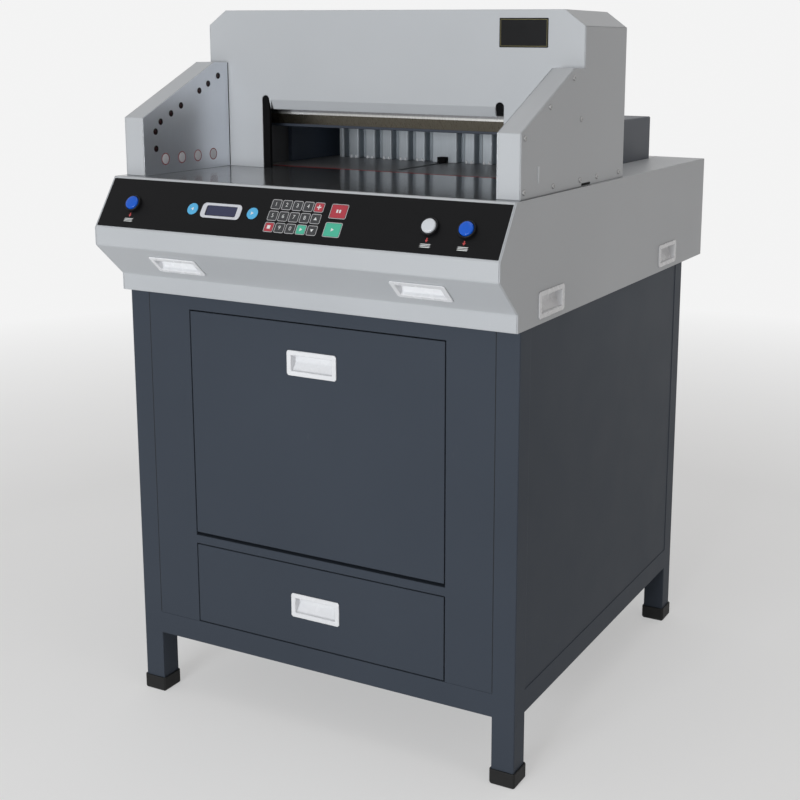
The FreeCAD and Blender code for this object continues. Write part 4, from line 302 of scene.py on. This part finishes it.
lay_paint = paint("lay_paint", (0.075, 0.098, 0.14), 0.45, (0.10, 0.11, 0.12), 0.3, 0.15, gloss=0.3)
black_oxide = metal("black_oxide", plain_metal((0.075, 0.075, 0.08)), (0.42, 0.55), ROLLED)
# dull_black also serves as painted shade on the throat strips and on the hook slot pad
dull_black = plastic("dull_black", (0.0045, 0.0045, 0.005), 0.6, 0.12, 0.0006, 0.05)

for part in frame["record"]["subparts"]:
    materials = nodes[part["node"]].data.materials
    materials.clear()
    materials.append(mats[part["material_slot"]])
# painted shade: throat_strips get dull black behind the front cover's notches, back_gauge gets finger_steel
# with its painted gap shade
for name, mat in (("back_gauge", finger_steel), ("side_lays", lay_paint), ("knife_bolts", black_oxide),
                  ("throat_strips", dull_black), ("gauge_carriage", dull_black)):
    nodes[name].data.materials[0] = mat


# Softened edges of the pieces that show, by radius in millimetres

EDGE_RADII = {0.4: ("guard_plates", "control_panel", "back_gauge", "table"),
              0.8: ("front_cover", "head_cover", "rear_cover", "gauge_cover", "door_panel",
                    "drawer_front", "front_frame_plate", "power_entry"),
              1.2: ("housing_front", "housing_sides", "housing_rear", "stand_frame", "foot_caps"),
              2.0: ("guard_shells", "side_covers", "housing_pulls", "door_pull", "drawer_pull")}
KEEP_TRIANGLES = ("gauge_cover", "drawer_front", "foot_caps")  # merged, their openings would fill
WELD_GAP = 0.005
FLAT_ANGLE, SHARP_ANGLE = math.radians(0.5), math.radians(40)


def soften(name, radius):
    """Join the split faces, merge flat triangles, then round every sharp edge by a real bevel."""
    stack = nodes[name].modifiers
    stack.new("join", "WELD").merge_threshold = WELD_GAP * MM
    if name not in KEEP_TRIANGLES:
        flatten = stack.new("flatten", "DECIMATE")
        flatten.decimate_type = "DISSOLVE"
        flatten.angle_limit = FLAT_ANGLE
    bevel = stack.new("soften", "BEVEL")
    bevel.width = radius * MM
    bevel.segments = 2
    bevel.limit_method = "ANGLE"
    bevel.angle_limit = SHARP_ANGLE
    bevel.use_clamp_overlap = True
    stack.new("normals", "WEIGHTED_NORMAL").keep_sharp = True


for radius, names in EDGE_RADII.items():
    for name in names:
        soften(name, radius)


# Helpers for the pieces that ride on the frame

HAIR = 0.02       # keeps a thin piece off the face that carries it
PRINT_H = 0.05    # thickness of printed shapes
CIRCLE_STEPS = 64
# Edges steeper than this many degrees stay sharp: on most pieces, on turned and on shallow ones
SHARP, SHARP_TURNED, SHARP_SHALLOW = 30, 50, 20


def mesh_from(name, build):
    """Mesh from a function that fills a bmesh, its faces turned outwards."""
    bm = bmesh.new()
    build(bm)
    bmesh.ops.recalc_face_normals(bm, faces=bm.faces)
    mesh = bpy.data.meshes.new(name)
    bm.to_mesh(mesh)
    bm.free()
    return mesh


def add_object(name, data):
    obj = bpy.data.objects.new(name, data)
    scene.collection.objects.link(obj)
    return obj


def add_mesh(name, build, place, slot, mat=None, sharp=SHARP, body="machine"):
    """Piece from a builder, placed and riding on a body, in its slot's material unless one is given."""
    mesh = mesh_from(name, build)
    mesh.transform(place)
    mesh.materials.append(mat or mats[slot])
    mesh.polygons.foreach_set("use_smooth", [True] * len(mesh.polygons))
    mesh.set_sharp_from_angle(angle=math.radians(sharp))
    obj = add_object(name, mesh)
    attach(obj, body)
    return obj


def add_moved(bm, build, matrix):
    """Run a builder and move what it added."""
    old = set(bm.verts)
    build(bm)
    bmesh.ops.transform(bm, matrix=matrix, verts=[v for v in bm.verts if v not in old])


def place_of(origin, x_dir, y_dir):
    """Local X and Y along the given directions; origin in millimetres."""
    x_dir, y_dir = Vector(x_dir), Vector(y_dir)
    columns = (x_dir, y_dir, x_dir.cross(y_dir), Vector(origin) * MM)
    return Matrix([[c[row] for c in columns] for row in range(3)] + [[0, 0, 0, 1]])


def slope_place(x, s, lift=0.0):
    """On the control slope: s is measured up the slope, lift off its foil."""
    up = Vector((0, PANEL_RUN, PANEL_DROP)).normalized()
    out = Vector((1, 0, 0)).cross(up)
    origin = Vector((x, FRONT_Y, TABLE_Z - PANEL_DROP)) + up * s + out * (FOIL_H + lift)
    return place_of(origin, (1, 0, 0), up)


def side_place(x, y, z, side):
    """On an upright side face that looks along X when side is 1, against it when -1."""
    return place_of((x, y, z), (0, side, 0), (0, 0, 1))


def front_place(x, y, z):
    return place_of((x, y, z), (1, 0, 0), (0, 0, 1))


def rear_place(x, y, z):
    return place_of((x, y, z), (-1, 0, 0), (0, 0, 1))


def rounded_outline(w, h, r, steps=6):
    points = []
    for cx, cy, start in ((w / 2 - r, h / 2 - r, 0), (r - w / 2, h / 2 - r, 90),
                          (r - w / 2, r - h / 2, 180), (w / 2 - r, r - h / 2, 270)):
        for k in range(steps + 1):
            a = math.radians(start + 90 * k / steps)
            points.append((cx + r * math.cos(a), cy + r * math.sin(a)))
    return points


def circle(r):
    turn = 2 * math.pi / CIRCLE_STEPS
    return [(r * math.cos(turn * k), r * math.sin(turn * k)) for k in range(CIRCLE_STEPS)]


def loft(bm, loops, closed=False):
    """Skin loops of equal length; a loop is (outline, height), both in millimetres."""
    rings = [[bm.verts.new((x * MM, y * MM, z * MM)) for x, y in outline] for outline, z in loops]
    count = len(rings[0])
    pairs = list(zip(rings, rings[1:])) + ([(rings[-1], rings[0])] if closed else [])
    for a, b in pairs:
        for i in range(count):
            j = (i + 1) % count
            bm.faces.new((a[i], a[j], b[j], b[i]))
    if not closed:
        bm.faces.new(rings[0][::-1])
        bm.faces.new(rings[-1])


def turned(profile, closed=False):
    """Builder of a turned form from (radius, height) points."""
    return lambda bm: loft(bm, [(circle(r), z) for r, z in profile], closed)


def pad(w, h, r, levels):
    """Builder of a raised pad: levels are (inset, height)."""
    return lambda bm: loft(bm, [(rounded_outline(w - 2 * i, h - 2 * i, max(r - i, 0.2)), z)
                                for i, z in levels])


def band(outer, inner, low, high):
    """Builder of a flat frame between two outlines."""
    return lambda bm: loft(bm, [(outer, low), (outer, high), (inner, high), (inner, low)], closed=True)


def prints(outlines):
    """Builder of printed shapes, each a closed outline."""
    def build(bm):
        for outline in outlines:
            loft(bm, [(outline, 0), (outline, PRINT_H)])
    return build


# Control panel pieces

KEY_DARK = plastic("key_dark", (0.040, 0.041, 0.044), 0.36, gloss=0.3)
KEY_RED = plastic("key_red", (0.37, 0.035, 0.052), 0.32, gloss=0.4)
KEY_GREEN = plastic("key_green", (0.060, 0.40, 0.27), 0.32, gloss=0.4)
KEY_CYAN = plastic("key_cyan", (0.085, 0.39, 0.66), 0.28, gloss=0.4)
PRINT_WHITE = plastic("print_white", (0.66, 0.67, 0.67), 0.4, 0.02)
PRINT_GREY = plastic("print_grey", (0.46, 0.46, 0.47), 0.4, 0.02)
PRINT_RED = plastic("print_red", (0.45, 0.05, 0.05), 0.4, 0.02)
BEZEL = plastic("bezel_silver", (0.55, 0.56, 0.60), 0.28, 0.03)
MARKS = {
    "up": [[(-3, -2.2), (3, -2.2), (0, 3)]],
    "down": [[(3, 2.2), (-3, 2.2), (0, -3)]],
    "left": [[(2.2, -3), (2.2, 3), (-3, 0)]],
    "right": [[(-2.2, 3), (-2.2, -3), (3, 0)]],
    "stop": [[(-3, -3), (3, -3), (3, 3), (-3, 3)]],
    "cross": [[(-4, -1), (4, -1), (4, 1), (-4, 1)], [(-1, 1.05), (1, 1.05), (1, 4), (-1, 4)],
              [(-1, -4), (1, -4), (1, -1.05), (-1, -1.05)]],
    "pause": [[(-4, -2.8), (-1, -2.8), (-1, 2.8), (-4, 2.8)], [(1, -2.8), (4, -2.8), (4, 2.8), (1, 2.8)]],
}
DIGIT_SIZE, DIGIT_EXTRUDE = 9.5, 0.03
# Keys: column pitch and first column, sizes, (inset, height) levels, and the round keys' profile
KEY_PITCH, KEY_X0 = 20, -32
KEY_SIZE, LARGE_KEY_SIZE, KEY_CORNER = (15.2, 14.4), (28, 22.5), 2.0
KEY_LEVELS = [(0, 0), (0.1, 0.3), (0.9, 0.6)]
ROUND_KEY = [(10.2, 0), (10.1, 0.5), (8.6, 0.9), (7.0, 1.0)]
# Printed frame of a key: what its two outlines add to the key's size, their corners, its thickness
FRAME_OUTER, FRAME_INNER, FRAME_H = (2.6, 2.6), (0.6, 1.6), 0.06
# Buttons: node, place across, slot, name of the mark below and its height up the slope
BUTTONS = (("left_cut_button", -BUTTON_X, "blue_plastic", "mark_cut_left", 21),
           ("reset_button", RESET_X, "button_white", "mark_reset", 20),
           ("right_cut_button", BUTTON_X, "blue_plastic", "mark_cut_right", 20))


def mark(name, kind, x, s, top):
    """Printed digit or plain symbol on a key whose top stands that high."""
    place = slope_place(x, s, top + 2 * HAIR)
    if not kind.isdigit():
        add_mesh(name, prints(MARKS[kind]), place, "button_white", PRINT_WHITE)
        return
    curve = bpy.data.curves.new(name, "FONT")
    curve.body = kind
    curve.size = DIGIT_SIZE * MM
    curve.align_x = "CENTER"
    curve.align_y = "CENTER"
    curve.extrude = DIGIT_EXTRUDE * MM
    obj = add_object(name, curve)
    obj.matrix_world = place
    curve.materials.append(PRINT_WHITE)
    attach(obj, "machine")


def key(name, x, s, size, mat, kind):
    """Embossed membrane key with a soft shoulder, its symbol and a printed frame round it."""
    w, h = size
    place = slope_place(x, s, HAIR)
    add_mesh(name, pad(w, h, KEY_CORNER, KEY_LEVELS), place, "panel_foil", mat, SHARP_SHALLOW)
    outer, inner = (rounded_outline(w + more, h + more, corner)
                    for more, corner in (FRAME_OUTER, FRAME_INNER))
    add_mesh(name + "_frame", band(outer, inner, 0, FRAME_H), place, "panel_foil", PRINT_GREY)
    mark(name + "_mark", kind, x, s, KEY_LEVELS[-1][1])


def keypad():
    rows = ((66, ("1", "2", "3", "4", "cross")), (46, ("5", "6", "7", "8", "up")),
            (26, ("stop", "9", "0", "right", "down")))
    colours = {"cross": KEY_RED, "stop": KEY_RED, "right": KEY_GREEN}
    for s, kinds in rows:
        for j, kind in enumerate(kinds):
            key("key_" + kind, KEY_X0 + KEY_PITCH * j, s, KEY_SIZE, colours.get(kind, KEY_DARK), kind)
    key("key_pause", 85, 61.6, LARGE_KEY_SIZE, KEY_RED, "pause")
    key("key_start", 84, 30, LARGE_KEY_SIZE, KEY_GREEN, "right")
    for kind, x in (("left", SCREEN_X - 57), ("right", SCREEN_X + 61)):
        add_mesh("key_step_" + kind, turned(ROUND_KEY), slope_place(x, CONTROL_S, HAIR), "blue_plastic",
                 KEY_CYAN)
        mark("key_step_%s_mark" % kind, kind, x, CONTROL_S, ROUND_KEY[-1][1])


def display_bezel():
    """Moulded frame round the display window, rounded outside and stepped inside."""
    steps = ((78, 26.6, 8, 0), (78, 26.6, 8, 0.7), (76.4, 25, 7.2, 1.2), (62, 20, 3.5, 1.2),
             (60.4, 18.4, 2.7, 0.7), (60, 18, 2.5, -0.2))
    loops = [(rounded_outline(w, h, r, 10), z) for w, h, r, z in steps]
    window_drop, seat = 0.5, 0.22
    add_mesh("display_bezel", lambda bm: loft(bm, loops, closed=True),
             slope_place(SCREEN_X, CONTROL_S - window_drop, seat), "panel_foil", BEZEL)


def pictogram(name, x, s):
    """Plain mark below a button: an arrow over three stacked sheets."""
    pile = [[(-9.5, y), (7, y), (9.5, y + 1.3), (-7, y + 1.3)] for y in (-6, -3.6, -1.2)]
    head, shaft = [(-2.8, 6.6), (0, 2.4), (2.8, 6.6)], [(-0.9, 10.0), (-0.9, 6.65), (0.9, 6.65), (0.9, 10.0)]
    place = slope_place(x, s, HAIR)
    add_mesh(name + "_pile", prints(pile), place, "button_white", PRINT_WHITE)
    add_mesh(name + "_arrow", prints([head, shaft]), place, "button_white", PRINT_RED)


def push_buttons():
    """Turned buttons with a domed crown in collars with a rolled lip."""
    crown = [(11.6, -15), (11.6, 6.8), (11.2, 7.7), (10.2, 8.4), (8, 8.85), (4, 9.1), (0.4, 9.15)]
    lip = [(12.1, -15), (13.2, -15), (13.2, -0.9), (14.5, 0.05), (14.5, 4.6), (14.1, 5.6), (13.2, 6),
           (12.6, 5.8), (12.1, 5.2)]
    for name, x, slot, _, _ in BUTTONS:
        cap = add_mesh(name + "_cap", turned(crown), slope_place(x, CONTROL_S), slot,
                       sharp=SHARP_TURNED, body=name)
        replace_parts(cap, name)

    def collars(bm):
        for _, x, _, _, _ in BUTTONS:
            add_moved(bm, turned(lip, closed=True), slope_place(x, CONTROL_S))
    rings = add_mesh("collar_rings", collars, Matrix(), "black_plastic", sharp=SHARP_TURNED)
    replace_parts(rings, "button_collars")
    for _, x, _, mark_name, s in BUTTONS:
        pictogram(mark_name, x, s)


# Guard arms and covers

LENS = plastic("barrier_lens", (0.030, 0.004, 0.005), 0.12)
PAD_PALE = plastic("pad_pale", (0.52, 0.52, 0.54), 0.4, 0.02, gloss=0.3)
PAD_RED = plastic("pad_red", (0.24, 0.035, 0.05), 0.4, 0.02, gloss=0.3)
PRINT_GOLD = plastic("print_gold", (0.22, 0.19, 0.06), 0.4, 0.02)
# Light-barrier holes: the first one from the slope's start, steps along the slope, then down the front
HOLE_BACK, HOLE_DROP = 45.0, 8.2
HOLE_STEPS = (0, 31, 61, 118, 146, 178)
FRONT_HOLE_BACK, FRONT_HOLE_DROPS = 31.0, (16, 45)
# Ringed pads on each guard plate
PAD_COUNT, PAD_Y0, PAD_PITCH, PAD_Z = 4, -344.0, 44, 970.0
PAD_R, RING_R = 8.9, 10.4
SCREW_INSET = 11.0
SCREW_TURN, SHARP_SCREW = 37, 35
# Dark plate on the front cover; hook slot, drawn as a dull black pad of painted shade, and tab on the side,
# heights above the table
PLATE_W, PLATE_H, PLATE_X, PLATE_Z = 87.0, 47.0, 261.5, 1187.5
SLOT_Y, SLOT_UP, TAB_Y, TAB_UP = -147.5, 3.0, -336.0, 33.0
# Painted shade line where a guard plate meets the head: width, height, how far before the head, and its
# middle above the table
STRIP_W, STRIP_H, STRIP_OUT, STRIP_UP = 2.0, 186.0, 1.2, 94.0


def side_name(side):
    return "left" if side < 0 else "right"


def beam_holes():
    """(y, z) of the light-barrier holes: six along the slope, two down the front."""
    dy, dz = GUARD_HIGH[0] - GUARD_LOW[0], GUARD_HIGH[1] - GUARD_LOW[1]
    length = math.hypot(dy, dz)
    y0, z0 = GUARD_LOW[0] + HOLE_BACK, GUARD_LOW[1] - HOLE_DROP
    points = [(y0 + dy / length * s, z0 + dz / length * s) for s in HOLE_STEPS]
    return points + [(GUARD_FRONT + FRONT_HOLE_BACK, z0 - drop) for drop in FRONT_HOLE_DROPS]


def guard_details():
    """Grommet and lens in every light-barrier hole, and four bare ringed pads below them."""
    grommet = [(5.6, 0), (5.6, 0.35), (5.1, 0.75), (4.5, 0.7), (4.2, 0.2), (4.2, -1.2), (4.9, -1.2),
               (4.9, -0.1)]
    lens = [(4.15, -1.4), (4.15, -0.9), (3.2, -0.5), (1.6, -0.3), (0.3, -0.25)]
    disc = [(PAD_R, HAIR), (PAD_R, 0.16), (PAD_R - 0.4, 0.22)]
    ring = band(circle(RING_R), circle(PAD_R), HAIR, 0.26)
    for side in (-1, 1):
        for k, (y, z) in enumerate(beam_holes()):
            place = side_place(side * GUARD_X, y, z, -side)
            tag = "%s_%d" % (side_name(side), k)
            add_mesh("grommet_" + tag, turned(grommet, closed=True), place, "black_plastic",
                     sharp=SHARP_TURNED)
            add_mesh("lens_" + tag, turned(lens), place, "black_plastic", LENS, SHARP_TURNED)
        for k in range(PAD_COUNT):
            place = side_place(side * GUARD_X, PAD_Y0 + PAD_PITCH * k, PAD_Z, -side)
            tag = "%s_%d" % (side_name(side), k)
            add_mesh("pad_" + tag, turned(disc), place, "white_plastic", PAD_PALE, SHARP_TURNED)
            add_mesh("pad_ring_" + tag, ring, place, "white_plastic", PAD_RED, SHARP_TURNED)


def screw_points():
    """(y, z) of a side cover's screws: three under the slope, five above the table, one by the head."""
    (ya, za), (yb, zb) = GUARD_LOW, GUARD_HIGH
    points = [(ya + (yb - ya) * share + SCREW_INSET / 2, za + (zb - za) * share - SCREW_INSET)
              for share in (0.04, 0.5, 0.96)]
    ys = (GUARD_FRONT + SCREW_INSET, (GUARD_FRONT + HEAD_FRONT) / 2, HEAD_FRONT - SCREW_INSET,
          HEAD_FRONT + (HEAD_REAR - HEAD_FRONT) / 3, HEAD_REAR - 2 * SCREW_INSET)
    points += [(y, TABLE_Z + SCREW_INSET) for y in ys]
    return points + [(HEAD_FRONT - SCREW_INSET, GUARD_LOW[1] + SCREW_INSET)]


def cross_head():
    """Pan head with a cross recess, cut once and returned as a mesh at the origin."""
    plus = [(-2.6, -0.5), (-0.5, -0.5), (-0.5, -2.6), (0.5, -2.6), (0.5, -0.5), (2.6, -0.5), (2.6, 0.5),
            (0.5, 0.5), (0.5, 2.6), (-0.5, 2.6), (-0.5, 0.5), (-2.6, 0.5)]
    slim = [(x * 0.6, y * 0.6) for x, y in plus]
    dome = turned([(4.5, 0), (4.5, 0.7), (4.1, 1.35), (3.2, 1.8), (1.8, 2.0), (0.4, 2.05)])
    made = [add_object(name, mesh_from(name, build)) for name, build in
            (("dome", dome), ("recess", lambda bm: loft(bm, [(slim, 0.6), (plus, 2.4)])))]
    cutter = made[0].modifiers.new("recess", "BOOLEAN")
    cutter.object = made[1]
    cutter.operation = "DIFFERENCE"
    cutter.solver = "EXACT"
    head = bpy.data.meshes.new_from_object(made[0].evaluated_get(bpy.context.evaluated_depsgraph_get()))
    for obj in made:
        bpy.data.objects.remove(obj)
    return head


def screw_set(name, places):
    """Cross-head screws at the given places, each turned by another angle."""
    head = cross_head()

    def build(bm):
        for k, place in enumerate(places):
            turn = Matrix.Rotation(math.radians(SCREW_TURN * k), 4, "Z")
            add_moved(bm, lambda bm: bm.from_mesh(head), place @ turn)
    return add_mesh(name, build, Matrix(), "zinc_screws", sharp=SHARP_SCREW)


def cover_screws():
    places = [side_place(side * COVER_X, y, z, side) for side in (-1, 1) for y, z in screw_points()]
    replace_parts(screw_set("side_cover_screws", places), "cover_screws")


def rear_screws():
    """Screws that hold the rear sheets: head cover, housing and the stand's panel."""
    cover, housing, panel = (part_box(n)[1].y / MM for n in ("rear_cover", "housing_rear", "rear_panel"))
    sunk = 0.3
    points = [(x, cover, z) for x in (-357, 357) for z in (957, 1075, 1190)]
    points += [(x, cover, 1211) for x in (-150, 150)]
    points += [(x, housing - sunk, z) for x in (-360, 0, 360) for z in (763, 931)]
    points += [(x, panel, z) for x in (-321, 0, 321) for z in (168, 737)]
    points += [(x, panel, 452) for x in (-321, 321)]
    screw_set("rear_screws", [rear_place(*p) for p in points])


def cover_plates():
    """Bare dark plate with a thin line on the front cover; on the right side a hook slot drawn as a dull
    black pad of painted shade, and a tab.
    """
    place = front_place(PLATE_X, HEAD_FRONT, PLATE_Z)
    plate = pad(PLATE_W, PLATE_H, 1.5, [(0, HAIR), (0, 0.3), (0.3, 0.45)])
    add_mesh("bare_plate", plate, place, "panel_foil", sharp=SHARP_SHALLOW)
    outer, inner = (rounded_outline(PLATE_W - less, PLATE_H - less, corner)
                    for less, corner in ((4, 1.2), (5.2, 0.8)))
    add_mesh("bare_plate_line", band(outer, inner, 0.46, 0.5), place, "panel_foil", PRINT_GOLD)
    # painted shade: a raised dull black pad stands for the dark inside of the hook slot
    add_mesh("hook_slot_shade", pad(38, 4.2, 2.0, [(0, HAIR), (0.1, 0.12)]),
             side_place(COVER_X, SLOT_Y, TABLE_Z + SLOT_UP, 1), "black_plastic", dull_black, SHARP_SHALLOW)
    tab = [([(-w, 13), (-1.6, -13), (1.6, -13), (w, 13)][::-1], z) for w, z in ((3.6, HAIR), (3.4, 0.8))]
    add_mesh("latch_tab", lambda bm: loft(bm, tab), side_place(COVER_X, TAB_Y, TABLE_Z + TAB_UP, 1),
             "light_grey_paint", mats["button_white"], SHARP_SHALLOW)


def seam_shades():
    """Dark strips painted as the shade in the gaps where the guard plates meet the head and the legs meet
    the front plate.
    """
    low, high = (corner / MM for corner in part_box("front_frame_plate"))
    # painted shade: dark strip along each seam between a leg and the front plate
    leg_seam_shade = pad(1.1, high.z - low.z - 4, 0.5, [(0, HAIR), (0.15, 0.08)])
    for x, name in ((low.x, "seam_leg_left"), (high.x, "seam_leg_right")):
        add_mesh(name, leg_seam_shade, front_place(x, low.y, (low.z + high.z) / 2), "black_rubber",
                 sharp=SHARP_SHALLOW)
    # painted shade: dark strip where each guard plate meets the head
    plate_seam_shade = pad(STRIP_W, STRIP_H, 0.9, [(0, HAIR), (0.2, 0.2)])
    for side in (-1, 1):
        place = side_place(side * GUARD_X, HEAD_FRONT - STRIP_OUT, TABLE_Z + STRIP_UP, -side)
        add_mesh("seam_" + side_name(side), plate_seam_shade, place, "black_rubber", sharp=SHARP_SHALLOW)


# Back gauge

GAUGE_X, FINGER_PITCH, FIRST_FINGER = -24.0, 37.5, 53.5
FINGER_COUNT, FINGER_MARGIN = 8, 15
FOOT_X, FOOT_OUT = 5.5, 0.2
FOOT = [(2.1, 0.1), (2.3, 0.5), (2.3, 5.0), (1.8, 5.6), (0.4, 5.8)]


def finger_centres():
    """Middles of the narrow gauge fingers, counted outwards from the wide one."""
    low, high = (corner.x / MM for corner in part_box("back_gauge"))
    reach = [FIRST_FINGER + FINGER_PITCH * k for k in range(FINGER_COUNT)]
    xs = [GAUGE_X - r for r in reach] + [GAUGE_X + r for r in reach]
    return [x for x in xs if low + FINGER_MARGIN < x < high - FINGER_MARGIN]


def gauge_feet():
    """Two small round feet on every narrow gauge finger, half sunk in its front."""
    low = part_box("back_gauge")[0] / MM

    def build(bm):
        for x in finger_centres():
            for dx in (-FOOT_X, FOOT_X):
                corner = Vector((x + dx, low.y - FOOT_OUT, low.z))
                add_moved(bm, turned(FOOT), Matrix.Translation(corner * MM))
    add_mesh("gauge_feet", build, Matrix(), "stainless_sheet", mats["white_plastic"], SHARP_TURNED, "gauge")


# Camera, light and stage

FOCAL_PX, IMAGE_PX, CENTRE_PX = 1332.5, 800, (472, 312)
SENSOR_MM = 36.0
AZIMUTH, ELEVATION, ROLL = (math.radians(angle) for angle in (26.9, 11.4, 0.5))
TARGET, DISTANCE = Vector((124.3, -67.15, 697.0)), 2393.0
PALE = (0.90, 0.90, 0.90, 1)
SOFT_COLOR, SOFT_STRENGTH = (0.89, 0.87, 0.85, 1), 0.38
# Floor in metres: its radius, where it starts to fade and where it is gone, and the fade at its middle
FLOOR_R, FADE_NEAR, FADE_FAR, FADE_START = 9.0, 1.3, 3.6, 0.45


def set_camera():
    """The photo's view: an off-centre crop of a slightly rolled picture."""
    cam = bpy.data.cameras.new("camera")
    cam.sensor_width = SENSOR_MM
    cam.lens = FOCAL_PX / IMAGE_PX * cam.sensor_width
    cam.shift_x = (IMAGE_PX / 2 - CENTRE_PX[0]) / IMAGE_PX
    cam.shift_y = (CENTRE_PX[1] - IMAGE_PX / 2) / IMAGE_PX
    cam.clip_start = 0.05
    obj = add_object("camera", cam)
    back = Vector((math.sin(AZIMUTH) * math.cos(ELEVATION), -math.cos(AZIMUTH) * math.cos(ELEVATION),
                   math.sin(ELEVATION)))
    level = Vector((0, 0, 1)).cross(back).normalized()
    right = level * math.cos(ROLL) + back.cross(level) * math.sin(ROLL)
    obj.matrix_world = place_of(TARGET + back * DISTANCE, right, back.cross(right))
    scene.camera = obj


def area_light(name, at, aim, size, power, color=(1, 1, 1)):
    light = bpy.data.lights.new(name, "AREA")
    light.shape = "RECTANGLE"
    light.size, light.size_y = size
    light.energy = power
    light.color = color
    obj = add_object(name, light)
    obj.rotation_euler = (Vector(aim) - Vector(at)).to_track_quat("-Z", "Y").to_euler()
    obj.location = at


def seen_rays(tree):
    """1 for camera, glossy and transmission rays, 0 for the rays that carry light."""
    path = tree.nodes.new("ShaderNodeLightPath")
    total = path.outputs["Is Camera Ray"]
    for name in ("Is Glossy Ray", "Is Transmission Ray"):
        add = tree.nodes.new("ShaderNodeMath")
        add.operation = "MAXIMUM"
        tree.links.new(total, add.inputs[0])
        tree.links.new(path.outputs[name], add.inputs[1])
        total = add.outputs[0]
    return total


def blend_shaders(tree, fac, first, second, output):
    """Send two surfaces to the named output, the first where fac is 0, the second where it is 1."""
    mix = tree.nodes.new("ShaderNodeMixShader")
    for i, value in enumerate((fac, first, second)):
        tree.links.new(value, mix.inputs[i])
    tree.links.new(mix.outputs[0], tree.nodes[output].inputs["Surface"])


def set_world():
    """Soft even light from a surround that looks plain and pale."""
    world = bpy.data.worlds.new("studio")
    scene.world = world
    world.use_nodes = True
    tree = world.node_tree
    soft, plain = tree.nodes["Background"], tree.nodes.new("ShaderNodeBackground")
    for shader, color, strength in ((soft, SOFT_COLOR, SOFT_STRENGTH), (plain, PALE, 1.0)):
        shader.inputs["Color"].default_value = color
        shader.inputs["Strength"].default_value = strength
    blend_shaders(tree, seen_rays(tree), soft.outputs[0], plain.outputs[0], "World Output")


def set_floor():
    """Pale floor that fades into the surround."""
    rim = circle(FLOOR_R)
    floor = bpy.data.meshes.new("floor")
    floor.from_pydata([(x, y, 0) for x, y in rim], [], [tuple(range(len(rim)))])
    obj = add_object("floor", floor)
    g = Graph("floor")
    g.set(Base_Color=g.tones(g.noise(scale=2.0, detail=3), (0.84, 0.84, 0.84), (0.87, 0.87, 0.87)))
    g.set(Roughness=0.75, Specular_IOR_Level=0.2)
    distance = g.node("ShaderNodeVectorMath", {0: g.coords}, operation="LENGTH").outputs["Value"]
    fade = g.times(g.remap(distance, FADE_NEAR, FADE_FAR, FADE_START, 1.0), seen_rays(g.tree))
    glow = g.node("ShaderNodeEmission", {"Color": PALE, "Strength": 1.0}).outputs[0]
    blend_shaders(g.tree, fade, g.bsdf.outputs[0], glow, "Material Output")
    floor.materials.append(g.mat)


keypad()
display_bezel()
push_buttons()
guard_details()
cover_screws()
cover_plates()
rear_screws()
seam_shades()
gauge_feet()
set_camera()
set_world()
set_floor()
area_light("front", at=(0.1, -4.2, 1.15), aim=(0, -0.2, 0.85), size=(1.6, 1.0), power=92,
           color=(0.95, 0.98, 1.0))
area_light("side", at=(3.2, -0.8, 1.7), aim=(0.2, 0, 0.8), size=(1.2, 1.8), power=5.0,
           color=(1.0, 0.92, 0.84))
area_light("top", at=(0.2, -0.5, 3.4), aim=(0, 0, 0.9), size=(2.2, 2.2), power=12)
scene.view_settings.view_transform = "Standard"
